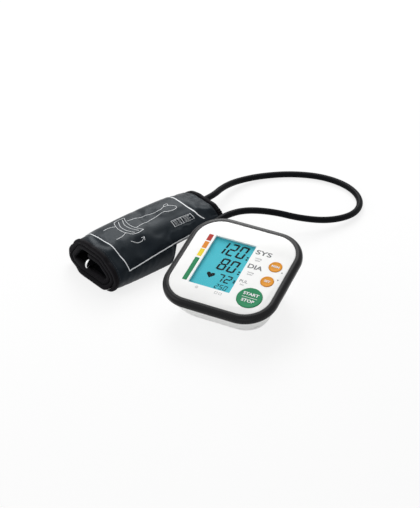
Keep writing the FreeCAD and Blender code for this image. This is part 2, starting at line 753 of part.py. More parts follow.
def build_lower_housing():
    wall = size("housing_wall")
    bay_wall = size("bay_wall")
    skin = bowl("bowl_skin", dim(0), dim(0))
    shell = cut("bowl_shell", skin, bowl("bowl_room", wall, fit_gap))
    bay = block("bay_case", (-bay_half - bay_wall, bay_start - bay_wall, dim(0)),
                (bay_half * 2 + bay_wall * 2, bay_depth + bay_wall * 2, bay_top))
    reach = size("through_length")
    posts = []
    tools = []
    for index, (x, y) in enumerate(BOARD_SCREWS):
        posts.append(rod(f"board_boss{index}", (x, y, board_under), "-z", size("board_boss_radius"), reach))
        tools.append(rod(f"board_bore{index}", (x, y, board_under), "-z",
                         size("screw_radius") + size("screw_clearance"), size("board_screw_length")))
    for index, (x, y) in enumerate(CORNER_SCREWS):
        posts.append(rod(f"corner_boss{index}", (x, y, rim_under), "-z", size("corner_boss_radius"), reach))
        tools.append(rod(f"corner_bore{index}", (x, y, rim_under), "-z",
                         size("screw_radius") + size("screw_clearance"), size("screw_web")))
        tools.append(rod(f"counterbore{index}", (x, y, screw_seat), "-z",
                         size("screw_head_radius") + size("counterbore_gap"), reach))
    pad_boss = rod("socket_pad", (pad_x, air_y, air_level), "x", size("pad_radius"), size("pad_depth"))
    post_group = on_face(fuse("posts", *posts))
    inside = common("inner_ribs", fuse("ribs", post_group, bay), skin)
    solid = fuse("housing_solid", shell, inside, pad_boss)
    bore_group = on_face(fuse("screw_bores", *tools))
    bay_room = block("bay_room", (-bay_half, bay_start, -wall), (bay_half * 2, bay_depth, bay_roof + wall))
    door_slot = block("door_slot", (-bay_half, bay_start, -wall), (bay_half * 2, reach, door_room + wall))
    tongue = size("tongue_width") + size("door_gap")
    groove_low = door_top - size("tongue_thickness") - size("door_gap")
    groove = block("door_groove", (-bay_half - tongue, bay_start, groove_low),
                   (bay_half * 2 + tongue * 2, reach, size("tongue_thickness") + size("door_gap") * 2))
    socket_hole = rod("socket_hole", (pad_x - fit_gap, air_y, air_level), "x",
                      size("socket_radius") + size("tube_gap"), size("pad_depth") + fit_gap * 2)
    housing = cut("lower_housing", solid, bore_group, bay_room, door_slot, groove, socket_hole)
    node(housing, "lower_housing")


def build_housing_screws():
    screws = []
    for index, (x, y) in enumerate(CORNER_SCREWS):
        screws.append(rod(f"corner_head{index}", (x, y, screw_seat), "-z",
                          size("screw_head_radius"), size("screw_head_height")))
        screws.append(rod(f"corner_shank{index}", (x, y, screw_seat - size("screw_head_height")), "z",
                          size("screw_radius"),
                          size("screw_web") + size("screw_head_height") + size("screw_bite")))
    node(on_face(fuse("housing_screws", *screws)), "housing_screws")


def build_batteries():
    room = size("contact_room")
    count = int(float(size("cell_count")))
    for index in range(count):
        way = 1 if index % 2 == 0 else -1
        y = bay_start + size("cell_gap") + size("cell_pitch") * (index + 0.5)
        start = (-bay_half + room) if way == 1 else (bay_half - room)
        direction = "x" if way == 1 else "-x"
        case = rod(f"cell_case{index}", (start, y, cell_level), direction,
                   size("cell_radius"), size("cell_length"))
        pole = rod(f"cell_pole{index}", (start, y, cell_level), direction,
                   size("pole_radius"), size("cell_length") + size("pole_height"))
        node(fuse(f"battery_{index + 1}", case, pole), f"battery_{index + 1}")
    for side, label in ((-1, "left_contacts"), (1, "right_contacts")):
        build_contacts(side, label, count)


def build_contacts(side, label, count):
    """Contact plate at one end of the bay, with a bent leaf for each battery."""
    thickness = float(size("contact_thickness"))
    wall_x = float(bay_half) - float(fit_gap)
    reach = float(size("contact_room")) - float(fit_gap) * 2
    half_height = float(size("contact_height")) / 2
    level = float(cell_level)
    low = float(bay_start) + float(size("cell_gap"))
    span = float(size("cell_pitch")) * count
    plate_box = Part.makeBox(thickness, span, 2 * half_height, Vec(wall_x - thickness, low, level - half_height))
    leaves = []
    for index in range(count):
        y = low + float(size("cell_pitch")) * (index + 0.5)
        tip = wall_x - reach
        root = wall_x - thickness
        profile = [Vec(root, y, level - half_height), Vec(tip, y, level),
                   Vec(root, y, level + half_height), Vec(root, y, level + half_height - 2 * thickness),
                   Vec(tip + 2 * thickness, y, level), Vec(root, y, level - half_height + 2 * thickness)]
        face = Part.Face(Part.makePolygon(profile + profile[:1]))
        leaf_width = float(size("leaf_width"))
        leaf = face.extrude(Vec(0, leaf_width, 0))
        leaf.translate(Vec(0, -leaf_width / 2, 0))
        leaves.append(leaf)
    shape = plate_box.multiFuse(leaves).removeSplitter()
    if side < 0:
        shape = shape.mirror(Vec(), Vec(1, 0, 0))
    feature(label, shape)


def feature(label, shape, placement=None):
    """A sub-part whose shape is made by code."""
    thing = add("Part::Feature", label)
    thing.Shape = shape.Solids[0] if len(shape.Solids) == 1 else shape
    if placement is not None:
        thing.Placement = placement
    return node(thing, label)


def build_battery_door():
    gap = size("door_gap")
    tongue = size("tongue_width")
    width = bay_half * 2 - gap * 2
    length = base_far - bay_start - gap * 2
    leaf = block("door_leaf", (-bay_half + gap, bay_start + gap, size("door_lift")),
                 (width, length, size("door_thickness")))
    tongues = block("door_tongues", (-bay_half + gap - tongue, bay_start + gap,
                                     door_top - size("tongue_thickness")),
                    (width + tongue * 2, size("tongue_length"), size("tongue_thickness")))
    grooves = []
    for index in range(int(float(size("grip_count")))):
        y = bay_end - size("grip_pitch") * (index + 1)
        grooves.append(block(f"grip{index}", (-size("grip_length") / 2, y, dim(0)),
                             (size("grip_length"), size("grip_width"), size("door_lift") + size("grip_depth"))))
    node(cut("battery_door", fuse("door_plate", leaf, tongues), *grooves), "battery_door")




# ---------------------------------------------------------------- console: air system
def hollow_tube(label, start, direction, length):
    """A straight soft tube that grips the stubs at both ends."""
    outer = rod(label + "_outer", start, direction, size("tube_radius"), length)
    inner = rod(label + "_inner", start, direction, size("stub_radius") + size("tube_gap"), length)
    node(cut(label, outer, inner), label)


def build_air_system():
    stub, stub_length = size("stub_radius"), size("stub_length")
    half = manifold_side / 2
    centre = (air_x, air_y, air_level)
    manifold_parts = [centred_block("manifold_block", (air_x, air_y), air_level - half,
                                    (manifold_side, manifold_side, manifold_side))]
    for name, direction in (("left", "-x"), ("right", "x"), ("near", "-y"), ("top", "z")):
        manifold_parts.append(rod(f"manifold_{name}", centre, direction, stub, half + stub_length))
    node(fuse("air_manifold", *manifold_parts), "air_manifold")

    pump_y, pump_side, pump_width = size("pump_y"), size("pump_side"), size("pump_width")
    floor = size("housing_wall") + fit_gap
    pump_x = air_x
    head = centred_block("pump_case", (pump_x, pump_y), floor, (pump_width, pump_side, pump_side))
    nozzle = rod("pump_nozzle", (pump_x, pump_y, air_level), "y", stub, pump_side / 2 + stub_length)
    node(fuse("pump_head", head, nozzle), "pump_head")
    motor_level = floor + pump_side / 2
    motor_start = pump_x + pump_width / 2
    motor = rod("motor_can", (motor_start, pump_y, motor_level), "x", size("motor_radius"), size("motor_length"))
    cap = rod("motor_cap", (motor_start, pump_y, motor_level), "x", size("motor_cap_radius"),
              size("motor_length") + size("motor_cap_length"))
    node(fuse("pump_motor", motor, cap), "pump_motor")
    cradle = centred_block("cradle_block", (motor_start + size("motor_length") / 2, pump_y), floor,
                           (size("cradle_width"), size("cradle_depth"), size("cradle_height")))
    bed = rod("cradle_bed", (motor_start, pump_y, motor_level), "x", size("motor_radius") + fit_gap,
              size("motor_length"))
    node(cut("pump_cradle", cradle, bed), "pump_cradle")
    pump_back = pump_y + pump_side / 2
    manifold_near = air_y - half
    hollow_tube("pump_tube", (pump_x, pump_back + fit_gap, air_level), "y",
                manifold_near - pump_back - fit_gap * 2)

    valve_x = air_x + size("valve_run")
    valve_left = valve_x - size("valve_width") / 2
    valve_case = centred_block("valve_case", (valve_x, air_y), bay_top + fit_gap,
                               (size("valve_width"), manifold_side, size("valve_height")))
    valve_stub = rod("valve_stub", (valve_x, air_y, air_level), "-x", stub, size("valve_width") / 2 + stub_length)
    node(fuse("release_valve", valve_case, valve_stub), "release_valve")
    hollow_tube("valve_tube", (air_x + half + fit_gap, air_y, air_level), "x",
                valve_left - air_x - half - fit_gap * 2)
    build_socket()
    build_sensor()


def build_socket():
    barrel = rod("socket_barrel", (socket_mouth, air_y, air_level), "x", size("socket_radius"),
                 size("socket_depth") + size("socket_floor"))
    flange = rod("socket_disc", (socket_mouth, air_y, air_level), "x",
                 (size("socket_radius") + size("pad_radius")) / 2, size("socket_flange"))
    stub = rod("socket_stub", (socket_end, air_y, air_level), "x", size("stub_radius"), size("stub_length"))
    bore = rod("socket_bore", (socket_mouth, air_y, air_level), "x",
               size("nozzle_radius") + size("nozzle_gap"), size("socket_depth"))
    node(cut("air_socket", fuse("socket_body", barrel, flange, stub), bore), "air_socket")
    hollow_tube("socket_tube", (socket_end + fit_gap, air_y, air_level), "x",
                air_x - manifold_side / 2 - socket_end - fit_gap * 2)


def face_point(x, y, z):
    """A point of the face frame, in the row frame."""
    lean = math.radians(float(face_tilt))
    return Vec(x, y * math.cos(lean) - z * math.sin(lean),
               float(face_height) + y * math.sin(lean) + z * math.cos(lean))


def into_face(y, z):
    """Y and Z of the face frame for a point of the row frame."""
    lean = math.radians(float(face_tilt))
    up = z - float(face_height)
    return y * math.cos(lean) + up * math.sin(lean), up * math.cos(lean) - y * math.sin(lean)


def build_sensor():
    """Sensor under the board, its stub in line with a soft tube that bends up to it."""
    low = float(air_level + manifold_side / 2)
    bend = low + float(size("stub_length")) + float(fit_gap)
    sensor_y, _ = into_face(float(air_y), bend)
    side = float(size("sensor_side"))
    top = float(board_under)
    under = top - float(size("sensor_thickness"))
    neck = under - float(size("sensor_neck"))
    case = Part.makeBox(side, side, top - under, Vec(float(air_x) - side / 2, sensor_y - side / 2, under))
    stub = Part.makeCylinder(float(size("stub_radius")), top - neck, Vec(float(air_x), sensor_y, neck))
    lean = App.Placement(Vec(0, 0, float(face_height)), App.Rotation(Vec(1, 0, 0), float(face_tilt)))
    feature("pressure_sensor", case.fuse(stub).removeSplitter(), lean)
    clear = float(fit_gap)
    points = [Vec(float(air_x), float(air_y), low + clear), Vec(float(air_x), float(air_y), bend),
              face_point(float(air_x), sensor_y, under - clear)]
    outer = tube(points, float(size("tube_radius")))
    inner = tube(points, float(size("stub_radius") + size("tube_gap")))
    feature("sensor_tube", outer.cut(inner))


# ---------------------------------------------------------------- hose, made of runs and tangent arcs
def route_edges(points):
    """Straight runs joined by arcs, each arc as large as its two runs allow."""
    edges = []
    radii = []
    start = points[0]
    for before, corner, after in zip(points, points[1:], points[2:]):
        into = (corner - before).normalize()
        out = (after - corner).normalize()
        turn = into.getAngle(out)
        reach = 0.45 * min(corner.distanceToPoint(before), corner.distanceToPoint(after))
        radii.append(reach / math.tan(turn / 2))
        arc_in = corner - into * reach
        arc_out = corner + out * reach
        inward = (out - into).normalize()
        to_middle = radii[-1] / math.cos(turn / 2) - radii[-1]
        middle = corner + inward * to_middle
        edges.append(Part.LineSegment(start, arc_in).toShape())
        edges.append(Part.Arc(arc_in, middle, arc_out).toShape())
        start = arc_out
    edges.append(Part.LineSegment(start, points[-1]).toShape())
    return edges, radii


def tube(points, radius):
    """A round bar along a route; its volume has to be its section times its length."""
    edges, radii = route_edges(points)
    path = Part.Wire(edges)
    heading = (points[1] - points[0]).normalize()
    section = Part.Wire(Part.Circle(points[0], heading, radius).toShape())
    shape = path.makePipeShell([section], True, True)
    expected = math.pi * radius ** 2 * path.Length
    if abs(shape.Volume / expected - 1) > 0.005:
        raise RuntimeError(f"tube volume {shape.Volume:.0f} is not {expected:.0f}")
    print(f"route length {path.Length:.1f} mm, radii", [round(r, 1) for r in radii])
    return shape


elbow_x = socket_mouth - size("plug_reach")


def lifted_rod(name, start, radius, length):
    """A cylinder along the elbow's arm, which rises towards the far side."""
    lift = size("plug_lift")
    place_y = air_y + dim(start) * cosine(lift)
    place_z = air_level + dim(start) * sine(lift)
    thing = rod(name, (elbow_x, place_y, place_z), "y", radius, length)
    thing.Placement.Rotation = App.Rotation(Vec(-1, 0, 0), 90 - float(lift))
    bind(thing, Placement__Rotation__Angle=90 - lift)
    return thing


def build_air_plug():
    nozzle_length = size("socket_depth") - seat_gap
    nozzle = rod("plug_nozzle", (elbow_x, air_y, air_level), "x", size("nozzle_radius"),
                 size("plug_reach") + nozzle_length)
    collar_end = socket_mouth - seat_gap
    collar = rod("plug_collar", (collar_end - size("plug_collar_length"), air_y, air_level), "x",
                 size("plug_collar_radius"), size("plug_collar_length"))
    arm = rod("plug_inner_arm", (elbow_x, air_y, air_level), "x", size("plug_radius"),
              size("plug_reach") - seat_gap - size("plug_collar_length"))
    knee = add("Part::Sphere", "plug_knee")
    bind(knee, Radius=size("plug_radius"))
    place(knee, elbow_x, air_y, air_level)
    tail = lifted_rod("plug_tail", 0, size("plug_radius"), size("plug_arm"))
    ring = lifted_rod("plug_ring", size("plug_arm") - size("plug_ring_length"),
                      (size("plug_radius") + size("plug_collar_radius")) / 2, size("plug_ring_length"))
    node(fuse("air_plug", nozzle, collar, arm, knee, tail, ring), "air_plug")


# ---------------------------------------------------------------- cuff
cuff_frame = App.Placement(Vec(float(size("cuff_x")), float(size("cuff_y")), 0),
                           App.Rotation(Vec(0, 0, 1), float(size("cuff_turn"))))
strip_half = float(size("strip_thickness")) / 2
pitch = float(size("strip_thickness") + size("turn_gap"))
cuff_length = float(size("cuff_length"))
outer_left = float(size("roll_height")) / 2 - strip_half
outer_right = outer_left + pitch / 2
inner_right = outer_right - 2 * pitch
left_middle = strip_half + outer_left
right_middle = left_middle - pitch / 2
right_ease = float(size("right_ease"))
left_ease = float(size("left_ease"))
right_shoulder = (float(size("right_shoulder")), right_middle)
right_foot = (float(size("right_foot")), right_middle - right_ease)
left_shoulder = (float(size("left_shoulder")), left_middle)
left_foot = (float(size("left_foot")), left_middle - left_ease)


def tangent_angle(first, second):
    """Direction, in degrees, from two circles' centres to the line that touches both on the outside."""
    (x1, z1), radius1 = first
    (x2, z2), radius2 = second
    heading = math.atan2(z2 - z1, x2 - x1)
    return math.degrees(heading + math.acos((radius1 - radius2) / math.hypot(x2 - x1, z2 - z1)))


def strip_path():
    """Middle line of the wound strip, from its inner end out to the flap's end, clockwise outwards.

    Each entry is (kind, data): a line's two ends, or an arc's centre, radius and end angles in degrees.
    Every turn goes round the same four centres, each time a pitch further out.
    """
    corners = []
    for turn in range(2):
        right = inner_right + turn * pitch
        left = right + pitch / 2
        corners += [(right_shoulder, right), (right_foot, right - right_ease),
                    (left_foot, left - left_ease), (left_shoulder, left)]
    corners += [(right_shoulder, outer_right), (right_foot, outer_right - right_ease)]
    top = right_middle + inner_right
    path = [("line", (float(size("inner_end")), top), (right_shoulder[0], top))]
    angle = 90
    for corner, following in zip(corners, corners[1:]):
        leave = tangent_angle(corner, following)
        while leave > angle:
            leave -= 360
        path.append(("arc", corner[0], corner[1], angle, leave))
        out_x, out_z = math.cos(math.radians(leave)), math.sin(math.radians(leave))
        ends = ((x + radius * out_x, z + radius * out_z) for (x, z), radius in (corner, following))
        path.append(("line", *ends))
        angle = leave
    centre, radius = corners[-1]
    upright = 360 * math.floor(angle / 360)
    path.append(("arc", centre, radius, angle, upright))
    flap_x = centre[0] + radius
    path.append(("line", (flap_x, centre[1]), (flap_x, float(size("flap_clearance")))))
    return path


def offset_edges(path, offset, y):
    """The strip's middle line moved outwards by an offset, as edges across the roll at y."""
    edges = []
    for kind, *data in path:
        if kind == "line":
            (x1, z1), (x2, z2) = data
            length = math.hypot(x2 - x1, z2 - z1)
            out_x, out_z = -(z2 - z1) / length * offset, (x2 - x1) / length * offset
            ends = (Vec(x1 + out_x, y, z1 + out_z), Vec(x2 + out_x, y, z2 + out_z))
            edges.append(Part.LineSegment(*ends).toShape())
        else:
            (x, z), radius, first, last = data
            radius += offset
            marks = [math.radians(a) for a in (first, (first + last) / 2, last)]
            spots = [Vec(x + radius * math.cos(a), y, z + radius * math.sin(a)) for a in marks]
            edges.append(Part.Arc(*spots).toShape())
    return edges


def band(path, low, high, start, end):
    """A layer of the strip between two offsets, along the roll from start to end."""
    inner = offset_edges(path, low, start)
    outer = offset_edges(path, high, start)
    first = Part.LineSegment(inner[0].firstVertex(True).Point, outer[0].firstVertex(True).Point).toShape()
    last = Part.LineSegment(inner[-1].lastVertex(True).Point, outer[-1].lastVertex(True).Point).toShape()
    wire = Part.Wire(Part.__sortEdges__(inner + outer + [first, last]))
    return Part.Face(wire).extrude(Vec(0, end - start, 0))


def build_cuff():
    path = strip_path()
    first_turn = 1 + 2 * 4  # the inner end's line, then four corners and four runs
    bladder_part, plain_part = path[:first_turn], path[first_turn:]
    cloth = float(size("cloth_thickness"))
    edge = float(size("binding_width"))
    near, far = edge, cuff_length - edge
    fold = strip_half - cloth
    outer_cloth = band(path, fold, strip_half, near, far).fuse(band(plain_part, 0, fold, near, far))
    inner_cloth = band(path, -strip_half, -fold, near, far).fuse(band(plain_part, -fold, 0, near, far))
    feature("cuff_outer_cloth", outer_cloth.removeSplitter(), cuff_frame)
    feature("cuff_inner_cloth", inner_cloth.removeSplitter(), cuff_frame)
    gap = float(size("bladder_gap"))
    margin = float(size("bladder_margin"))
    feature("air_bladder", band(bladder_part, gap - fold, fold - gap, margin, cuff_length - margin), cuff_frame)
    feature("near_binding", band(path, -strip_half, strip_half, 0, near), cuff_frame)
    feature("far_binding", band(path, -strip_half, strip_half, far, cuff_length), cuff_frame)
    build_hook_patch()
    build_cuff_ring()
    build_cuff_port()


def build_hook_patch():
    """Hook patch on the inner face of the flap, above its end."""
    flap_inside = right_foot[0] + outer_right - right_ease - strip_half
    margin = float(size("hook_margin"))
    thickness = float(size("hook_thickness"))
    patch = Part.makeBox(thickness, cuff_length - 2 * margin, float(size("hook_height")),
                         Vec(flap_inside - thickness, margin, 2 * float(size("flap_clearance"))))
    feature("hook_patch", patch, cuff_frame)


def build_cuff_ring():
    """Closed metal loop, upright in the core of the roll, under the strip's inner end."""
    wire = float(size("ring_wire"))
    bend = float(size("ring_height")) / 2 - wire
    overrun = float(size("ring_overrun"))
    middle = right_middle + inner_right - strip_half - float(size("ring_gap")) - wire - bend
    x = float(size("ring_x"))
    near, far = bend + wire - overrun, cuff_length + overrun - bend - wire
    pieces = []
    for level in (middle - bend, middle + bend):
        pieces.append(Part.makeCylinder(wire, far - near, Vec(x, near, level), Vec(0, 1, 0)))
    for y, turn in ((near, 180), (far, 0)):
        bow = Part.makeTorus(bend, wire, Vec(), Vec(0, 0, 1), 0, 360, 180)
        bow.rotate(Vec(), Vec(0, 1, 0), 90)
        bow.rotate(Vec(), Vec(1, 0, 0), turn)
        bow.translate(Vec(x, y, middle))
        pieces.append(bow)
    feature("cuff_ring", pieces[0].multiFuse(pieces[1:]).removeSplitter(), cuff_frame)


def build_cuff_port():
    """Air port in the far end of the roll, the strain relief on it, and the hose."""
    radius = float(size("port_radius"))
    x = float(size("port_x"))
    level = right_middle - inner_right + strip_half + float(fit_gap) + radius
    depth = float(size("port_depth"))
    rise = float(size("port_rise"))
    axis = Vec(0, 1, 0)
    port = Part.makeCylinder(radius, depth + rise, Vec(x, cuff_length - depth, level), axis)
    feature("cuff_port", port, cuff_frame)
    sleeve_length = float(size("sleeve_length"))
    mouth = Vec(x, cuff_length + rise, level)
    sleeve = Part.makeCone(radius, float(size("sleeve_end_radius")), sleeve_length, mouth, axis)
    feature("hose_sleeve", sleeve, cuff_frame)
    start = cuff_frame.multVec(mouth + axis * sleeve_length)
    lift = math.radians(float(size("plug_lift")))
    arm = float(size("plug_arm"))
    finish = Vec(float(elbow_x), float(air_y) + arm * math.cos(lift), float(air_level) + arm * math.sin(lift))
    points = [start] + [Vec(*point) for point in HOSE_POINTS] + [finish]
    print("hose ends", [tuple(round(c, 2) for c in p) for p in (points[0], points[-1])])
    feature("hose", tube(points, float(size("hose_radius"))))


# ---------------------------------------------------------------- build, check and export
def build():
    build_face_panel()
    build_rim_frame()
    build_display()
    for name, (x, y, radius) in BUTTONS.items():
        build_button(name, x, y, radius)
        build_switch(name, x, y)
    build_board()
    build_lower_housing()
    build_housing_screws()
    build_batteries()
    build_battery_door()
    build_air_system()
    build_air_plug()
    build_cuff()


def check():
    doc.recompute()
    for thing in doc.Objects:
        if "Invalid" in thing.State or "Error" in thing.State:
            raise RuntimeError(f"{thing.Name} failed: {thing.State}")
    for thing in NODES:
        if thing.Shape.isNull() or not thing.Shape.isValid():
            raise RuntimeError(f"{thing.Label} has no valid shape")


def export():
    os.makedirs("parts", exist_ok=True)
    for thing in NODES:
        thing.Shape.exportStep(f"parts/{thing.Label}.step")
        box = thing.Shape.BoundBox
        print(f"{thing.Label:18s} solids {len(thing.Shape.Solids)} volume {thing.Shape.Volume:9.0f} "
              f"x {box.XMin:7.1f} {box.XMax:7.1f} y {box.YMin:7.1f} {box.YMax:7.1f} "
              f"z {box.ZMin:6.1f} {box.ZMax:6.1f}")


build()
check()
export()
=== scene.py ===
"""Desk blood pressure monitor with its air hose and rolled arm cuff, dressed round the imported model."""

import json
import math

import bpy
from mathutils import Matrix, Vector, noise


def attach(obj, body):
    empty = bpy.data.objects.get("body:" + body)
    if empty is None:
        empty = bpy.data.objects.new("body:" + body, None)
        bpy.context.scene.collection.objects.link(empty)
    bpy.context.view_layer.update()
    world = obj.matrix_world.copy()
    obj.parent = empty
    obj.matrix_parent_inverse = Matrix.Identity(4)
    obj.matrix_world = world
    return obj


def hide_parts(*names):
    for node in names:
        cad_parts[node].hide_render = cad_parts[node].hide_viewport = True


bl_info = {
    "name": "Arm Blood Pressure Monitor",
    "version": (1, 0, 0),
    "blender": (4, 5, 0),
    "location": "View3D > Sidebar > Monitor",
    "description": "Builds a desk blood pressure monitor with its air hose and rolled cuff",
    "category": "Add Mesh",
}

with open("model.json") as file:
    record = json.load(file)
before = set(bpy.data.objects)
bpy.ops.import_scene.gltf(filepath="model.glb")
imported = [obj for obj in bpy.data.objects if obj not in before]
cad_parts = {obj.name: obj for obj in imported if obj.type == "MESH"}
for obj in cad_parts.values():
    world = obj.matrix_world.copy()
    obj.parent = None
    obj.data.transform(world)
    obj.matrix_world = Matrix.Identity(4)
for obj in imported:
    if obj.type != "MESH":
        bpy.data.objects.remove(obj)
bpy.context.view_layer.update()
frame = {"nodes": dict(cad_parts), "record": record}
MM = 0.001


# --- colour and material tools
MIX_DARK, MIX_PALE, MIX_RESULT = 6, 7, 2     # the sockets of a Mix node for colours
GLOSS_RANGE = 0.05           # how far a grain moves the roughness, up and down
WAVE_PERIOD = 0.31416        # a wave texture's period at scale 1
CAPITAL = 0.72               # a capital letter's height, as a share of the type size


def linear(code):
    """An sRGB hex colour, or a named colour of the settings, as linear red, green, blue and alpha."""
    if not code.startswith("#"):
        return getattr(bpy.context.scene.monitor_colours, code)
    parts = [int(code[i:i + 2], 16) / 255 for i in (1, 3, 5)]
    return tuple(c / 12.92 if c <= 0.04045 else ((c + 0.055) / 1.055) ** 2.4 for c in parts) + (1.0,)


def assign(owner, **values):
    """Sets several properties of one thing."""
    for name, value in values.items():
        setattr(owner, name, value)


def connect(material, source, node, name):
    """Links an output, or a node's first output, to an input of another node."""
    if isinstance(source, bpy.types.Node):
        source = source.outputs[0]
    material.node_tree.links.new(source, node.inputs[name])


def add_node(material, kind, inputs=None, links=None, **settings):
    """Adds one shader node with its settings, fixed inputs and links."""
    node = material.node_tree.nodes.new(f"ShaderNode{kind}")
    assign(node, **settings)
    for name, value in (inputs or {}).items():
        node.inputs[name].default_value = value
    for name, source in (links or {}).items():
        connect(material, source, node, name)
    return node


def cleared(owner):
    """Empties the nodes of a material or a world."""
    owner.use_nodes = True
    owner.node_tree.nodes.clear()
    return owner


def new_material(name, shader):
    """A material that holds only its Principled shader and output."""
    made = cleared(bpy.data.materials.new(name))
    base = add_node(made, "BsdfPrincipled", shader)
    add_node(made, "OutputMaterial", links={"Surface": base})
    return made, base


def surfaced(made, base, share, dark, pale, height, relief, depth):
    """Gives a shader two colours, mixed by one output, and a relief that follows another."""
    tones = {MIX_DARK: linear(dark), MIX_PALE: linear(pale)}
    mixed = add_node(made, "Mix", tones, {0: share}, data_type="RGBA")
    bump = add_node(made, "Bump", {"Strength": relief, "Distance": depth}, {"Height": height})
    connect(made, mixed.outputs[MIX_RESULT], base, "Base Color")
    connect(made, bump, base, "Normal")
    return made


def clouded(made, base, dark, pale, grain, relief, roughness, cloud=25 * MM):
    """Gives a shader two colours in clouds, and a fine grain in its gloss and relief."""
    place = add_node(made, "TexCoord").outputs["Object"]
    clouds = add_node(made, "TexNoise", {"Scale": 1 / cloud, "Detail": 3.0}, {"Vector": place})
    fine = add_node(made, "TexNoise", {"Scale": 1 / grain, "Detail": 2.0}, {"Vector": place})
    gloss = add_node(made, "MapRange", {"To Min": roughness - GLOSS_RANGE, "To Max": roughness + GLOSS_RANGE},
                     {"Value": fine})
    connect(made, gloss, base, "Roughness")
    return surfaced(made, base, clouds, dark, pale, fine, relief, 0.1 * MM)


def moulded(name, dark, pale, roughness, grain=0.5, relief=0.15, shine=0.5):
    """A moulded plastic or rubber, with its grain in millimetres."""
    made, base = new_material(name, {"IOR": 1.5, "Specular IOR Level": shine})
    return clouded(made, base, dark, pale, grain * MM, relief, roughness)


def woven(name, dark, pale, thread, relief, roughness, sheen, gloss):
    """A cloth, its thread in millimetres, on the piece's UV map, which is in metres of cloth."""
    made, base = new_material(name, {
        "IOR": 1.5, "Sheen Weight": sheen, "Sheen Roughness": 0.45, "Sheen Tint": linear("#C3D2DE"),
        "Roughness": roughness, "Specular IOR Level": gloss, "Specular Tint": linear("#D3E3EC")})
    cloth = add_node(made, "UVMap", uv_map="cloth")
    warp, weft = (add_node(made, "TexWave", {"Scale": WAVE_PERIOD / (thread * MM), "Distortion": 0.4},
                           {"Vector": cloth}, wave_type="BANDS", bands_direction=way) for way in "XY")
    weave = add_node(made, "Math", links={0: warp.outputs["Fac"], 1: weft.outputs["Fac"]},
                     operation="MULTIPLY")
    place = add_node(made, "TexCoord").outputs["Object"]
    fade = add_node(made, "TexNoise", {"Scale": 1 / (30 * MM), "Detail": 4.0}, {"Vector": place})
    share = add_node(made, "Math", links={0: weave, 1: fade}, operation="ADD")
    level = add_node(made, "MapRange", {"From Min": 0.2, "From Max": 1.3}, {"Value": share})
    return surfaced(made, base, level, dark, pale, weave, relief, 0.2 * MM)


def brushed(name, dark, pale, roughness, anisotropic=0.0):
    """A plated or drawn metal, with faint lines left by its making."""
    made, base = new_material(name, {"Metallic": 1.0, "Anisotropic": anisotropic})
    return clouded(made, base, dark, pale, 0.3 * MM, 0.08, roughness, 8 * MM)


def clear_cover(name, tint, alpha):
    """A clear moulded sheet, seen mostly by its reflections."""
    made, _ = new_material(name, {"Base Color": linear(tint), "IOR": 1.49, "Alpha": alpha, "Roughness": 0.16,
                                  "Specular IOR Level": 0.2})
    return made


def lit_glass(name, dark, pale, glow):
    """Liquid crystal glass over its backlight, in an even colour."""
    made, base = new_material(name, {"IOR": 1.5, "Emission Color": linear(pale), "Emission Strength": glow,
                                     "Specular IOR Level": 0.06})
    return clouded(made, base, dark, pale, 3 * MM, 0.01, 0.4, 45 * MM)


DULL = 0.2           # how inks and soft-touch coats shine, which is hardly

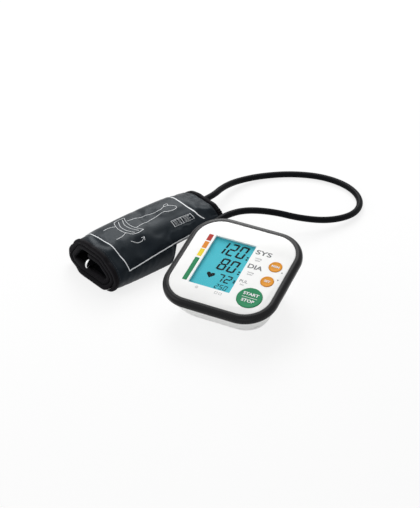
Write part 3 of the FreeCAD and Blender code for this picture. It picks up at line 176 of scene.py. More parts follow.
# Each material starts from the real one, and its comment says what that gives the eye. A row holds the maker
# and what it takes; a colour without # is one of the settings.
FINISHES = {
    # ABS with a fine spark-eroded texture: clean white, soft wide highlights
    "white_plastic": (moulded, "white_abs_satin", "face_dark", "face_pale", 0.42, 0.6, 0.10),
    # ABS moulded smooth: near black, with a clear but soft highlight along its rounding
    "dark_rim_plastic": (moulded, "black_abs_semi_gloss", "#0B0B0D", "#111114", 0.28, 0.5, 0.05, 0.18),
    # cast acrylic: clear, with sharp reflections
    "clear_window": (clear_cover, "clear_acrylic", "#566466", 0.03),
    # liquid crystal glass with a teal backlight: even, slightly glowing colour
    "display_teal": (lit_glass, "backlit_liquid_crystal", "#38B3C4", "#55C7D5", 0.10),
    # opal acrylic: milky and even
    "diffuser": (moulded, "opal_acrylic", "#E2EAEC", "#F0F4F5", 0.35),
    # ABS, plain inner moulding: dark grey and dull
    "tray_plastic": (moulded, "grey_abs_plain", "#323235", "#3C3C40", 0.5),
    # silicone rubber keycap with a soft-touch coat: saturated and dull
    "button_green": (moulded, "green_keycap_rubber", "start_dark", "start_pale", 0.55, 0.4, 0.10, DULL),
    "button_orange": (moulded, "orange_keycap_rubber", "side_dark", "side_pale", 0.55, 0.4, 0.10, DULL),
    # epoxy glass board under green lacquer: dark green and glossy
    "board_green": (moulded, "solder_mask_board", "#0C4526", "#136033", 0.3, 1.2, 0.2),
    # glass-filled nylon: black and slightly dull
    "black_plastic": (moulded, "black_nylon_moulded", "#141416", "#1F1F22", 0.4, 0.4, 0.15),
    # zinc-plated steel: bright grey with soft reflections
    "steel": (brushed, "zinc_plated_steel", "#B4B6B8", "#CDCFD0", 0.3),
    # printed shrink sleeve: dark and glossy
    "cell_wrap": (moulded, "shrink_sleeve_film", "#24282D", "#333A40", 0.25, 0.8, 0.05),
    # drawn steel can: bands of soft reflection
    "motor_steel": (brushed, "drawn_steel_can", "#989A9C", "#B5B7B8", 0.35, 0.3),
    # natural rubber: dark and dull
    "soft_rubber": (moulded, "moulded_rubber", "#1D1D1D", "#272727", 0.7, 0.4, 0.2),
    # silicone tube: milky and a little glossy
    "clear_rubber": (moulded, "silicone_tube", "#BDBDB8", "#CACAC4", 0.35),
    # extruded PVC hose: blue-black, with a soft streak of light along it
    "hose_rubber": (moulded, "extruded_hose_vinyl", "#06070A", "#0B0D11", 0.45, 0.5, 0.08, 0.06),
    # tight plain-woven nylon: 0.35 mm threads, drawn at 1.1 mm so that they show; silky dark grey
    "cuff_cloth": (woven, "nylon_taffeta", "cuff_dark", "cuff_pale", 1.1, 0.25, 0.40, 0.08, 0.14),
    # brushed loop knit: soft, black and without gloss; 1 mm loops
    "lining_cloth": (woven, "brushed_loop_knit", "#060608", "#0D0C10", 1.0, 0.6, 0.9, 0.03, 0.05),
    # grosgrain tape: ribbed dark brown-black edge; 0.8 mm ribs
    "binding_cloth": (woven, "grosgrain_tape", "#070506", "#120D10", 0.8, 0.5, 0.7, 0.03, 0.1),
    # nylon hook tape: rough black, 1.3 mm hooks
    "hook_nylon": (woven, "hook_tape", "#0C0C0E", "#1B1B1F", 1.3, 0.9, 0.6, 0.0, 0.2),
    # nickel-plated wire: mirror-like
    "chrome_bar": (brushed, "nickel_plated_wire", "#D8D9DA", "#E6E7E8", 0.14),
    # pad-printed and screen-printed inks: flat colours with a faint gloss
    "ink_red": (moulded, "red_print_ink", "#A8281F", "#B23026", 0.6, 0.5, 0.15, DULL),
    "ink_orange": (moulded, "orange_print_ink", "#DC8420", "#E48E2A", 0.6, 0.5, 0.15, DULL),
    "ink_yellow": (moulded, "yellow_print_ink", "#ECD02A", "#F2D836", 0.6, 0.5, 0.15, DULL),
    "ink_green": (moulded, "green_print_ink", "#157A4B", "#1D8454", 0.6, 0.5, 0.15, DULL),
    "ink_grey": (moulded, "grey_print_ink", "#484B4E", "#525558", 0.5),
    "ink_pale_grey": (moulded, "pale_grey_print_ink", "#7E8082", "#8A8C8E", 0.5),
    "ink_white": (moulded, "white_print_ink", "#E4E6E8", "#F0F1F2", 0.55),
    "ink_cuff": (moulded, "white_cloth_print", "#DCE0E3", "#EEF0F2", 0.6),
    # polyester sewing thread: dull dark grey
    "thread_grey": (moulded, "polyester_thread", "#1C1C20", "#2A2A2F", 0.7),
    # liquid crystal seen dark: blue-black
    "crystal_dark": (moulded, "dark_liquid_crystal", "#04090B", "#070E11", 0.6, 0.5, 0.15, 0.05),
}
made_finishes = {}


def finish(name):
    """The material of a slot or an ink, made when it is first asked for."""
    if name not in made_finishes:
        maker, *values = FINISHES[name]
        made_finishes[name] = maker(*values)
    return made_finishes[name]


# --- modelling tools
def fresh():
    """Deselects everything, because an operator acts on all that is selected."""
    if bpy.context.object and bpy.context.object.mode != "OBJECT":
        bpy.ops.object.mode_set(mode="OBJECT")
    bpy.ops.object.select_all(action="DESELECT")


def take(piece):
    """Makes one piece the only selected one, and the active one."""
    fresh()
    piece.select_set(True)
    bpy.context.view_layer.objects.active = piece


def opened(name):
    """Names the piece just added and opens its mesh, with all of it selected."""
    piece = bpy.context.object
    piece.name = name
    bpy.ops.object.mode_set(mode="EDIT")
    bpy.ops.mesh.select_all(action="SELECT")
    return piece


def pull(height):
    """Extrudes what is selected straight up, or down for a height below nought."""
    bpy.ops.mesh.extrude_region_move(TRANSFORM_OT_translate={"value": (0, 0, height)})


def at(x, y, z=0.0):
    """The place of a spot in millimetres."""
    return Matrix.Translation((x * MM, y * MM, z * MM))


def pick(piece, kind, test):
    """Enters edit mode with only the edges or faces that pass a test selected."""
    take(piece)
    bpy.ops.object.mode_set(mode="EDIT")
    bpy.ops.mesh.select_mode(type=kind)
    bpy.ops.mesh.select_all(action="DESELECT")
    bpy.ops.object.mode_set(mode="OBJECT")
    mesh = piece.data
    for part in mesh.edges if kind == "EDGE" else mesh.polygons:
        part.select = test(mesh, part)
    bpy.ops.object.mode_set(mode="EDIT")


def span(mesh, edge, axis):
    """How far an edge goes along one axis."""
    start, end = (mesh.vertices[v].co[axis] for v in edge.vertices)
    return abs(start - end)


def leave(piece):
    """Turns all faces outwards and goes back to object mode."""
    bpy.ops.mesh.select_all(action="SELECT")
    bpy.ops.mesh.normals_make_consistent(inside=False)
    bpy.ops.object.mode_set(mode="OBJECT")
    return piece


def apply_modifier(piece, kind, **settings):
    """Adds one modifier with its settings and applies it."""
    take(piece)
    bpy.ops.object.modifier_add(type=kind)
    modifier = piece.modifiers[-1]
    assign(modifier, **settings)
    bpy.ops.object.modifier_apply(modifier=modifier.name)


def cut_out(piece, cutter):
    """Takes one solid out of another and removes the cutter."""
    apply_modifier(piece, "BOOLEAN", operation="DIFFERENCE", solver="EXACT", object=cutter)
    bpy.data.objects.remove(cutter, do_unlink=True)


def dress(piece, body, finish_name, replaced=(), place=None, angle=35):
    """Puts a piece in its place, gives it its material, slot and body, and hides the CAD nodes it stands for.
    """
    take(piece)
    bpy.ops.object.transform_apply(location=True, rotation=True, scale=True)
    if place is not None:
        piece.data.transform(place)
    bpy.ops.object.shade_smooth_by_angle(angle=math.radians(angle))
    piece.data.materials.clear()
    piece.data.materials.append(finish(finish_name))
    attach(piece, body)
    if replaced:
        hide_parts(*replaced)


def print_on(piece, ink, place, body="console"):
    """Dresses a mark that is printed on the white face or on a button."""
    dress(piece, body, ink, (), place)


def slab(name, width, depth, corner, top, thickness, segments=3, centre=(0, 0)):
    """A flat plate, from a plane whose corners are rounded and which is extruded down."""
    fresh()
    middle = (*centre, top)
    bpy.ops.mesh.primitive_plane_add(size=1, location=middle)
    piece = opened(name)
    bpy.ops.transform.resize(value=(width, depth, 1), center_override=middle)
    if corner:
        bpy.ops.mesh.bevel(offset=corner, segments=segments, affect="VERTICES")
    bpy.ops.mesh.select_all(action="SELECT")
    pull(-thickness)
    return leave(piece)


def turned(name, profile, segments):
    """A turned solid, extruded ring by ring through a profile of radius and height in millimetres."""
    fresh()
    (radius, height), *rings = [(r * MM, z * MM) for r, z in profile]
    bpy.ops.mesh.primitive_circle_add(vertices=segments, radius=radius, fill_type="NGON",
                                      location=(0, 0, height))
    piece = opened(name)
    for wider, higher in rings:
        pull(higher - height)
        share = wider / radius
        bpy.ops.transform.resize(value=(share, share, 1), center_override=(0, 0, higher))
        radius, height = wider, higher
    return leave(piece)


def round_edges(piece, height, offset, segments):
    """Bevels the outline edges that lie at one height."""
    pick(piece, "EDGE", lambda mesh, edge: all(
        abs(mesh.vertices[v].co.z + piece.location.z - height) < 1e-6 for v in edge.vertices))
    bpy.ops.mesh.bevel(offset=offset, segments=segments, affect="EDGES", profile=0.5)
    leave(piece)


def repeat(pattern, places, name):
    """Copies a piece to each place, and joins the copies."""
    copies = []
    for place in places:
        copy = pattern.copy()
        copy.data = pattern.data.copy()
        bpy.context.scene.collection.objects.link(copy)
        copy.data.transform(place)
        copies.append(copy)
    bpy.data.objects.remove(pattern, do_unlink=True)
    take(copies[0])
    for copy in copies:
        copy.select_set(True)
    if len(copies) > 1:
        bpy.ops.object.join()
    copies[0].name = name
    return copies[0]


def word(name, text, height, x, y, level, bold, wide):
    """Raised lettering as a mesh, with its sizes in millimetres."""
    fresh()
    bpy.ops.object.text_add()
    piece = bpy.context.object
    piece.name = name
    assign(piece.data, body=text, align_x="CENTER", align_y="CENTER", size=height * MM / CAPITAL,
           offset=bold * MM, extrude=0.03 * MM, resolution_u=4)
    take(piece)
    bpy.ops.object.convert(target="MESH")
    piece = bpy.context.object
    piece.data.transform(at(x, y, level) @ Matrix.Diagonal((wide, 1, 1, 1)))
    return piece


def drawn(name, lines, width, overlap, thickness=0.0):
    """Printed lines, from one stroke that is stretched to each step; flat without a thickness."""
    fresh()
    middle = (0.5, 0, 0)
    bpy.ops.mesh.primitive_plane_add(size=1, location=middle)
    stroke = opened(f"{name}_stroke")
    bpy.ops.transform.resize(value=(1, width, 1), center_override=middle)
    pick(stroke, "EDGE", lambda mesh, edge: span(mesh, edge, 0) > 0.5)
    bpy.ops.mesh.subdivide(number_cuts=1)
    bpy.ops.mesh.select_all(action="SELECT")
    if thickness:
        pull(-thickness)
    take(leave(stroke))
    bpy.ops.object.transform_apply(location=True, rotation=True, scale=True)
    places = [Matrix.Translation((x1, y1, 0)) @ Matrix.Rotation(math.atan2(y2 - y1, x2 - x1), 4, "Z")
              @ Matrix.Translation((-overlap, 0, 0))
              @ Matrix.Diagonal((math.hypot(x2 - x1, y2 - y1) + 2 * overlap, 1, 1, 1))
              for line in lines for (x1, y1), (x2, y2) in zip(line, line[1:])]
    return repeat(stroke, places, name)


# --- settings
def length(name, description, default, low=0.0):
    """A length property in millimetres of the real object, kept in metres."""
    return bpy.props.FloatProperty(name=name, description=description, default=default * MM,
                                   min=low, unit="LENGTH", precision=5)


def colour(name, description, code):
    """A colour property, from an sRGB hex colour."""
    return bpy.props.FloatVectorProperty(name=name, description=description, default=linear(code), size=4,
                                         min=0.0, max=1.0, subtype="COLOR")


def power(name, description, default):
    """A lamp's power in watts."""
    return bpy.props.FloatProperty(name=name, description=description, default=default, unit="POWER")


class ConsoleSizes(bpy.types.PropertyGroup):
    """Sizes of the console's shell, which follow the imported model."""
    face_width: length("Face width", "White face, side to side", 120)
    face_depth: length("Face depth", "White face, near edge to far edge", 122)
    face_corner: length("Face corner", "Corner radius of the white face", 29.4)
    face_height: length("Face height", "Centre of the face above the table", 52)
    face_tilt: bpy.props.FloatProperty(name="Face tilt", description="Lean of the face towards the user",
                                       default=math.radians(11.4), subtype="ANGLE")
    panel: length("Panel", "Thickness of the white front panel", 2.2)
    panel_edge: length("Panel edge", "Rounding of the front panel's edge", 0.6)
    overhang: length("Overhang", "Dark rim beyond the white face", 7.5)
    rim_depth: length("Rim depth", "Dark rim, top to underside", 9.5)
    rim_top: length("Rim top rounding", "Rounding of the rim's outer top edge", 5.2)
    rim_low: length("Rim low rounding", "Rounding of the rim's outer lower edge", 2.4)
    ledge: length("Ledge", "Ledge under the panel's edge", 2.5)
    window_x: length("Window place", "Centre of the window, across", -12, -1.0)
    window_width: length("Window width", "Display window, side to side", 49.6)
    window_depth: length("Window depth", "Display window, near to far", 74.5)


class CuffSizes(bpy.types.PropertyGroup):
    """Sizes of the rolled cuff."""
    roll: length("Roll", "Rolled cuff, end to end", 165)
    height: length("Height", "Rolled cuff, table to top", 44.7)
    strip: length("Strip", "Thickness of the padded strip", 5.6)
    gap: length("Gap", "Gap between the turns of the roll", 0.8)
    tape: length("Tape", "Width of the edge tape", 5.5)
    pleat: length("Pleats", "Depth of the pleats beside the edge tapes", 0.9)
    lean: length("Lean", "How far the far end's top leans to the right", 15)
    swell: length("Swell", "Most that the padded cloth may move when it fills", 1.2)


class MonitorColours(bpy.types.PropertyGroup):
    """Main colours, each as the two close ones that a surface changes between."""
    face_dark: colour("Face, dark", "Darker colour of the white plastic", "#EDEDEC")
    face_pale: colour("Face, pale", "Paler colour of the white plastic", "#F6F6F5")
    start_dark: colour("Start button, dark", "Darker colour of the start button", "#167E50")
    start_pale: colour("Start button, pale", "Paler colour of the start button", "#1E8859")
    side_dark: colour("Side buttons, dark", "Darker colour of the other buttons", "#DE8F1E")
    side_pale: colour("Side buttons, pale", "Paler colour of the other buttons", "#E69A2A")
    cuff_dark: colour("Cuff, dark", "Darker colour of the cuff's cloth", "#090C10")
    cuff_pale: colour("Cuff, pale", "Paler colour of the cuff's cloth", "#151C23")


class StudioLight(bpy.types.PropertyGroup):
    """Lamps of the studio."""
    key: power("Key lamp", "Large lamp behind and above", 8.2)
    fill: power("Fill lamp", "Large lamp from the left", 5.0)
    rear: power("Rear lamp", "Smaller lamp behind, for the sheen of the cloth", 6.0)
    low: power("Low lamp", "Soft lamp low in front, for the upright walls", 1.6)
    sky: bpy.props.FloatProperty(name="Sky", description="Even light from all round", default=0.52, min=0.0)


def face_place():
    """The place of the console's face: its centre, leaning towards the user."""
    sizes = bpy.context.scene.console_sizes
    return Matrix.Translation((0, 0, sizes.face_height)) @ Matrix.Rotation(sizes.face_tilt, 4, "X")


# --- stage
CAMERA_PLACE, CAMERA_TURN = (0.5604, -1.2328, 1.0695), (math.radians(53.54), 0, math.radians(25.5))
FOCAL_LENGTH = 108.67        # in millimetres, as Blender has it
LAMP_TARGET = (-0.02, 0.05, 0.0)
FLOOR_WHITE = 0.8            # how much of the floor the camera sees as plain white


class MONITOR_OT_stage(bpy.types.Operator):
    """Add the camera, the lamps, the sky and the floor"""
    bl_idname = "monitor.stage"
    bl_label = "Stage"

    def white_for_camera(self, owner, output, lit, share_of_white):
        """Ends a floor or sky with plain white light where the camera, gloss or clear parts look at it."""
        path = add_node(owner, "LightPath").outputs
        seen = path["Is Camera Ray"]
        for ray in ("Is Glossy Ray", "Is Transmission Ray"):
            seen = add_node(owner, "Math", links={0: seen, 1: path[ray]}, operation="MAXIMUM")
        share = add_node(owner, "Math", {1: share_of_white}, {0: seen}, operation="MULTIPLY")
        white = add_node(owner, "Emission", {"Strength": 1.0})
        mixed = add_node(owner, "MixShader", links={0: share, 1: lit, 2: white})
        add_node(owner, output, links={"Surface": mixed})

    def execute(self, context):
        scene = context.scene
        fresh()
        bpy.ops.object.camera_add(location=CAMERA_PLACE, rotation=CAMERA_TURN)
        scene.camera = context.object
        scene.camera.name = "camera"
        assign(scene.camera.data, lens=FOCAL_LENGTH, clip_end=30)

        light = scene.studio_light
        for name, energy, size, place in (
                ("key", light.key, 0.9, (-0.35, 0.75, 1.05)), ("fill", light.fill, 1.1, (-1.1, -0.5, 0.9)),
                ("rear", light.rear, 0.5, (-0.6, 1.15, 0.84)), ("low", light.low, 0.9, (0.3, -1.15, 0.22))):
            fresh()
            bpy.ops.object.light_add(type="AREA", location=place)
            lamp = context.object
            lamp.name = f"{name}_lamp"
            assign(lamp.data, energy=energy, size=size)
            lamp.rotation_euler = (Vector(LAMP_TARGET) - Vector(place)).to_track_quat("-Z", "Y").to_euler()

        scene.world = scene.world or bpy.data.worlds.new("studio")
        sky = add_node(cleared(scene.world), "Background", {"Strength": light.sky})
        self.white_for_camera(scene.world, "OutputWorld", sky, 1.0)

        bpy.ops.mesh.primitive_plane_add(size=12, location=(0, 0, -0.2 * MM))
        floor = context.object
        floor.name = "floor"
        paper = cleared(bpy.data.materials.new("pale_studio_paper"))
        lit = add_node(paper, "BsdfDiffuse", {"Color": linear("#FAFAFA")})
        self.white_for_camera(paper, "OutputMaterial", lit, FLOOR_WHITE)
        floor.data.materials.append(paper)
        scene.view_settings.view_transform = "Standard"
        return {"FINISHED"}


# --- hose
# Route of the air hose in metres: the strain relief's end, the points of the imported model's route, the plug.
HOSE_ROUTE = [
    (-0.10616, 0.15081, 0.01715), (-0.1009, 0.1638, 0.0169), (-0.1005, 0.1880, 0.0135),
    (-0.0950, 0.2160, 0.0075), (-0.0740, 0.2445, 0.0045), (-0.0395, 0.2670, 0.0042), (0.0, 0.2773, 0.0042),
    (0.0380, 0.2695, 0.0042), (0.0615, 0.2455, 0.0045), (0.0640, 0.2135, 0.0060), (0.0435, 0.1835, 0.0100),
    (0.0145, 0.1625, 0.0180), (-0.0155, 0.1480, 0.0280), (-0.0425, 0.1275, 0.0355), (-0.0580, 0.1030, 0.0380),
    (-0.0650, 0.0780, 0.0365), (-0.0680, 0.0560, 0.0320), (-0.0680, 0.03722, 0.0254),
]
RELIEF_FOOT = Vector((-49 * MM, 166 * MM, 17.15 * MM))     # across, along and up the cuff


class MONITOR_OT_hose(bpy.types.Operator):
    """Add the air hose and the tapered strain relief where it leaves the cuff"""
    bl_idname = "monitor.hose"
    bl_label = "Air hose"

    def execute(self, context):
        line = bpy.data.curves.new("hose_line", "CURVE")
        assign(line, dimensions="3D", bevel_depth=3.9 * MM, bevel_resolution=8, resolution_u=16,
               use_fill_caps=True)
        spline = line.splines.new("NURBS")
        spline.points.add(len(HOSE_ROUTE) - 1)
        for point, spot in zip(spline.points, HOSE_ROUTE):
            point.co = (*spot, 1.0)
        spline.order_u = 3
        spline.use_endpoint_u = True
        hose = bpy.data.objects.new("air_hose", line)
        context.scene.collection.objects.link(hose)
        line.materials.append(finish("hose_rubber"))
        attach(hose, "cuff_set")
        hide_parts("hose")

        # five ribs with grooves between them, which get thinner towards the hose
        ribs = [(5.0, 0.0)]
        for index in range(5):
            start, radius = 1.6 + index * 3.6, 5.0 - index * 0.16
            ribs += [(radius, start), (radius - 0.7, start + 0.5), (radius - 0.75, start + 1.4),
                     (radius - 0.15, start + 1.9)]
        relief = turned("strain_relief", [*ribs, (4.2, 19.4), (4.0, 20.0)], 48)
        mouth = cuff_place() @ RELIEF_FOOT
        aim = Matrix.Rotation(CUFF_TURN, 4, "Z") @ Matrix.Rotation(math.radians(-90), 4, "X")
        dress(relief, "cuff_set", "hose_rubber", ["hose_sleeve"], Matrix.Translation(mouth) @ aim, 50)
        return {"FINISHED"}


# --- console
HOLE_GAP = 0.3               # round each button, in millimetres
SEAT_GAP = 0.15 * MM         # round the white panel in its rim
# Each button's centre on the face and its radius in millimetres, and its finish.
BUTTONS = {
    "start_button": (36.4, -35.9, 14.3, "button_green"),
    "memory_button": (44.9, 15.6, 7.45, "button_orange"),
    "set_button": (44.9, -7.4, 7.45, "button_orange"),
}


class MONITOR_OT_shell(bpy.types.Operator):
    """Add the console's white face and dark rim"""
    bl_idname = "monitor.shell"
    bl_label = "Face and rim"

    def execute(self, context):
        size = context.scene.console_sizes
        place = face_place()

        def outline(name, grow, top, thickness):
            """A plate with the face's outline, larger or smaller all round."""
            return slab(name, size.face_width + 2 * grow, size.face_depth + 2 * grow, size.face_corner + grow,
                        top, thickness, 24)

        panel = outline("front_panel", 0, 0, size.panel)
        round_edges(panel, 0, size.panel_edge, 3)
        cut_out(panel, slab("window_cutter", size.window_width, size.window_depth, 0.8 * MM, 0.01, 0.02, 4,
                            (size.window_x, 0)))
        for x, y, radius, _ in BUTTONS.values():
            hole = turned("hole_cutter", [(radius + HOLE_GAP, -10), (radius + HOLE_GAP, 10)], 72)
            hole.data.transform(at(x, y))
            cut_out(panel, hole)
        dress(panel, "console", "white_plastic", ["face_panel"], place)

        rim = outline("dark_rim", size.overhang, 0, size.rim_depth)
        round_edges(rim, 0, size.rim_top, 8)
        round_edges(rim, -size.rim_depth, size.rim_low, 5)
        cut_out(rim, outline("seat_cutter", SEAT_GAP, 0.01, 0.01 + size.panel))
        cut_out(rim, outline("opening_cutter", -size.ledge, 0.01, 0.03))
        dress(rim, "console", "dark_rim_plastic", ["rim_frame"], place)
        return {"FINISHED"}


class MONITOR_OT_buttons(bpy.types.Operator):
    """Add the three push buttons with their dished tops and marks"""
    bl_idname = "monitor.buttons"
    bl_label = "Buttons"

    def execute(self, context):
        for name, (x, y, radius, colour) in BUTTONS.items():
            # flange and stem under the panel, then the keycap with a rounded rim and a shallow dish
            button = turned(f"{name}_cap", [
                (2.2, -7.0), (2.2, -3.4), (radius + 1.5, -3.4), (radius + 1.5, -2.4), (radius, -2.4),
                (radius, 0.25), (radius - 0.12, 0.5), (radius - 0.42, 0.68), (radius - 0.9, 0.72),
                (radius * 0.86, 0.6), (radius * 0.7, 0.48), (radius * 0.45, 0.38), (radius * 0.2, 0.34)], 96)
            here = face_place() @ at(x, y)
            dress(button, name, colour, [name], here, 40)
            if name == "start_button":
                marks = [word("start_mark", "START", 4.0, 0, 4.6, 0.62, 0.16, 1.12),
                         word("stop_mark", "STOP", 4.0, 0, -5.0, 0.62, 0.16, 1.12),
                         slab("start_stop_line", 18 * MM, 0.5 * MM, 0, 0.52 * MM, 0.2 * MM)]
            else:
                label = "MEM" if name == "memory_button" else "SET"
                marks = [word(f"{label.lower()}_mark", label, 3.0, 0, 0, 0.55, 0.10, 1.1)]
            for mark in marks:
                print_on(mark, "ink_white", here, name)
        return {"FINISHED"}


# The lit segments of each figure, lettered clockwise from the top with the middle one last.
LIT = {"0": "abcdef", "1": "bc", "2": "abged", "3": "abgcd", "4": "fgbc", "5": "afgcd", "6": "afgedc",
       "7": "abc", "8": "abcdefg", "9": "abcdfg"}
GLASS_DEPTH = -3.6           # top of the liquid crystal glass below the face
SIGN_HEIGHT = 0.06           # how far its dark figures and signs stand up
FIGURE_LEAN = math.tan(math.radians(8))
HEART = [(0.0, -3.3), (-3.6, 0.4), (-3.9, 1.9), (-3.1, 3.1), (-1.7, 3.2), (-0.4, 2.3), (0.0, 1.5),
         (0.4, 2.3), (1.7, 3.2), (3.1, 3.1), (3.9, 1.9), (3.6, 0.4)]


class MONITOR_OT_display(bpy.types.Operator):
    """Add the display's dark numbers and signs and the printed colour scale"""
    bl_idname = "monitor.display"
    bl_label = "Display"

    def figures(self, name, text, right, top, width, height, pitch, bar):
        """A number in seven-segment figures, from its right-hand edge and its top, in millimetres."""
        pattern = slab("segment", 1, 1, 0, SIGN_HEIGHT * MM, SIGN_HEIGHT * MM)
        # a bar is shorter than its side, so that a gap shows at each corner
        long_part, tall_part = width - bar * 0.75, height / 2 - bar * 0.35
        side, rise = width / 2 - bar / 2, height / 2 - bar / 2
        spots = {"a": (0, rise, 0), "g": (0, 0, 0), "d": (0, -rise, 0), "f": (-side, height / 4, 1),
                 "b": (side, height / 4, 1), "e": (-side, -height / 4, 1), "c": (side, -height / 4, 1)}
        lean = Matrix.Identity(4)
        lean[0][1] = FIGURE_LEAN
        places = []
        for index, figure in enumerate(reversed(text)):
            centre = at(right - width / 2 - index * pitch, top - height / 2) @ lean
            for segment in LIT[figure]:
                x, y, upright = spots[segment]
                reach = (bar, tall_part - bar * 0.35) if upright else (long_part - bar * 0.5, bar)
                places.append(centre @ at(x, y) @ Matrix.Diagonal((reach[0] * MM, reach[1] * MM, 1, 1)))
        return repeat(pattern, places, name)

    def execute(self, context):
        place = face_place()
        signs = [self.figures(*row) for row in (
            ("figures_upper", "120", 5.2, 35.0, 9.6, 19.2, 12.0, 2.3),
            ("figures_middle", "80", 4.4, 11.5, 9.6, 18.4, 12.0, 2.3),
            ("figures_lower", "72", 5.6, -11.6, 7.2, 11.4, 9.2, 1.6),
            ("figures_count", "250", 6.2, -26.4, 3.9, 6.8, 5.2, 0.85))]
        corners = ((8.9, 20.6), (8.9, 17.2), (8.9, -2.4), (8.9, -5.8), (9.4, -16.4), (9.4, -19.0))
        signs += [slab(f"display_sign_{index}", 2.2 * MM, 2.0 * MM, 0.3 * MM, SIGN_HEIGHT * MM, 0.05 * MM,
                       centre=(x * MM, y * MM)) for index, (x, y) in enumerate(corners)]

        fresh()
        bpy.ops.mesh.primitive_circle_add(vertices=len(HEART), radius=1, fill_type="TRIFAN")
        heart = context.object
        outline = sorted((v for v in heart.data.vertices if v.co.length > 0.5),
                         key=lambda v: math.atan2(v.co.x, v.co.y) % (2 * math.pi))
        for vertex, (x, y) in zip(outline, HEART[6:] + HEART[:6]):
            vertex.co = (x * MM, y * MM, 0)
        opened("heart_sign")
        pull(SIGN_HEIGHT * MM)
        leave(heart)
        heart.data.transform(at(-19.5, -17.2) @ Matrix.Scale(1.25, 4))
        for sign in (*signs, heart):
            dress(sign, "console", "crystal_dark", (), place @ at(0, 0, GLASS_DEPTH))

        for name, colour, top, low in (("high", "red", 36.6, 26.5), ("raised", "orange", 25, 14.4),
                                       ("watch", "yellow", 13, 1.5), ("normal", "green", -1, -36.3)):
            patch = slab(f"scale_{name}", 5.5 * MM, (top - low) * MM, 0.25 * MM, 0.05 * MM, 0.15 * MM,
                         centre=(-42.25 * MM, (top + low) / 2 * MM))
            print_on(patch, f"ink_{colour}", place)
        return {"FINISHED"}


class MONITOR_OT_labels(bpy.types.Operator):
    """Add the printed words and signs on the white face"""
    bl_idname = "monitor.labels"
    bl_label = "Labels"

    def execute(self, context):
        place = face_place()
        small = (2.0, 0.03, 1.0, "ink_pale_grey")
        for name, text, x, y, height, bold, wide, ink in (
                ("upper", "SYS", 25, 29.3, 6.3, 0.18, 1.45, "ink_grey"),
                ("upper_unit", "mmHg", 22.5, 20.6, *small), ("upper_note", "upper", 22.5, 17.6, *small),
                ("middle", "DIA", 23.8, 7.2, 6.3, 0.20, 1.2, "ink_grey"),
                ("middle_unit", "mmHg", 22.5, -1.4, *small), ("middle_note", "lower", 22.5, -4.4, *small),
                ("lower", "PUL", 20.5, -16.2, 3.8, 0.08, 1.1, "ink_pale_grey"),
                ("lower_unit", "/min", 20.5, -21.0, *small)):
            print_on(word(f"label_{name}", text, height, x, y, 0.05, bold, wide), ink, place)
        for name, y, turn in (("mark_raise", 9.9, 0), ("mark_lower", -1.3, math.pi)):
            sign = turned(name, [(1.3, 0), (1.3, -0.12)], 3)
            sign.data.transform(at(55, y, 0.05) @ Matrix.Rotation(turn, 4, "Z"))
            print_on(sign, "ink_grey", place)
        ring = [(math.cos(math.tau * i / 18), math.sin(math.tau * i / 18)) for i in range(19)]
        signs = [[(-24.4 + 1.5 * x, -41.7 + 1.5 * y) for x, y in ring], [(-24.4, -40.9), (-24.4, -42.5)],
                 [(-2.6, -43.2), (-2.6, -40.4), (0.4, -40.4), (0.4, -43.2), (-2.6, -43.2)],
                 [(2.4, -43.2), (2.4, -40.4), (5.4, -40.4), (5.4, -43.2), (2.4, -43.2)]]
        lines = [[(x * MM, y * MM) for x, y in line] for line in signs]
        piece = drawn("signs_below_display", lines, 0.35 * MM, 0.15 * MM, 0.12 * MM)
        piece.data.transform(at(0, 0, 0.05))
        print_on(piece, "ink_pale_grey", place)
        return {"FINISHED"}


class MONITOR_OT_packed(bpy.types.Operator):
    """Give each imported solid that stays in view, and each part inside, its material"""
    bl_idname = "monitor.packed"
    bl_label = "Packed solids"

    def execute(self, context):
        for part in frame["record"]["subparts"]:
            node = frame["nodes"][part["node"]]
            if node.hide_render:
                continue
            if not node.material_slots:
                node.data.materials.append(None)
            for material_slot in node.material_slots:
                material_slot.material = finish(part["material_slot"])
        return {"FINISHED"}


# --- cuff
CUFF_CORNER, CUFF_TURN = (-0.1304, -0.0400, 0), math.radians(-22)
CUT_DEPTH, CUT_REACH = 25.5 * MM, 56 * MM    # how far the free end is cut back, and from how far before it
FOOT_BACK = 15 * MM          # how far the inner turns' foot stands back beyond that cut


def cuff_place():
    """The place of the rolled cuff: its near lower edge, turned about the vertical."""
    return Matrix.Translation(CUFF_CORNER) @ Matrix.Rotation(CUFF_TURN, 4, "Z")


# Centres of the circles that the strip is wound round, across and up, and how much tighter the low turns are.
RIGHT_SHOULDER, RIGHT_FOOT, RIGHT_EASE = (-27 * MM, 19.15 * MM), (-14.55 * MM, 15.15 * MM), 4 * MM
LEFT_SHOULDER, LEFT_FOOT, LEFT_EASE = (-50 * MM, 22.35 * MM), (-65.6 * MM, 14.35 * MM), 8 * MM


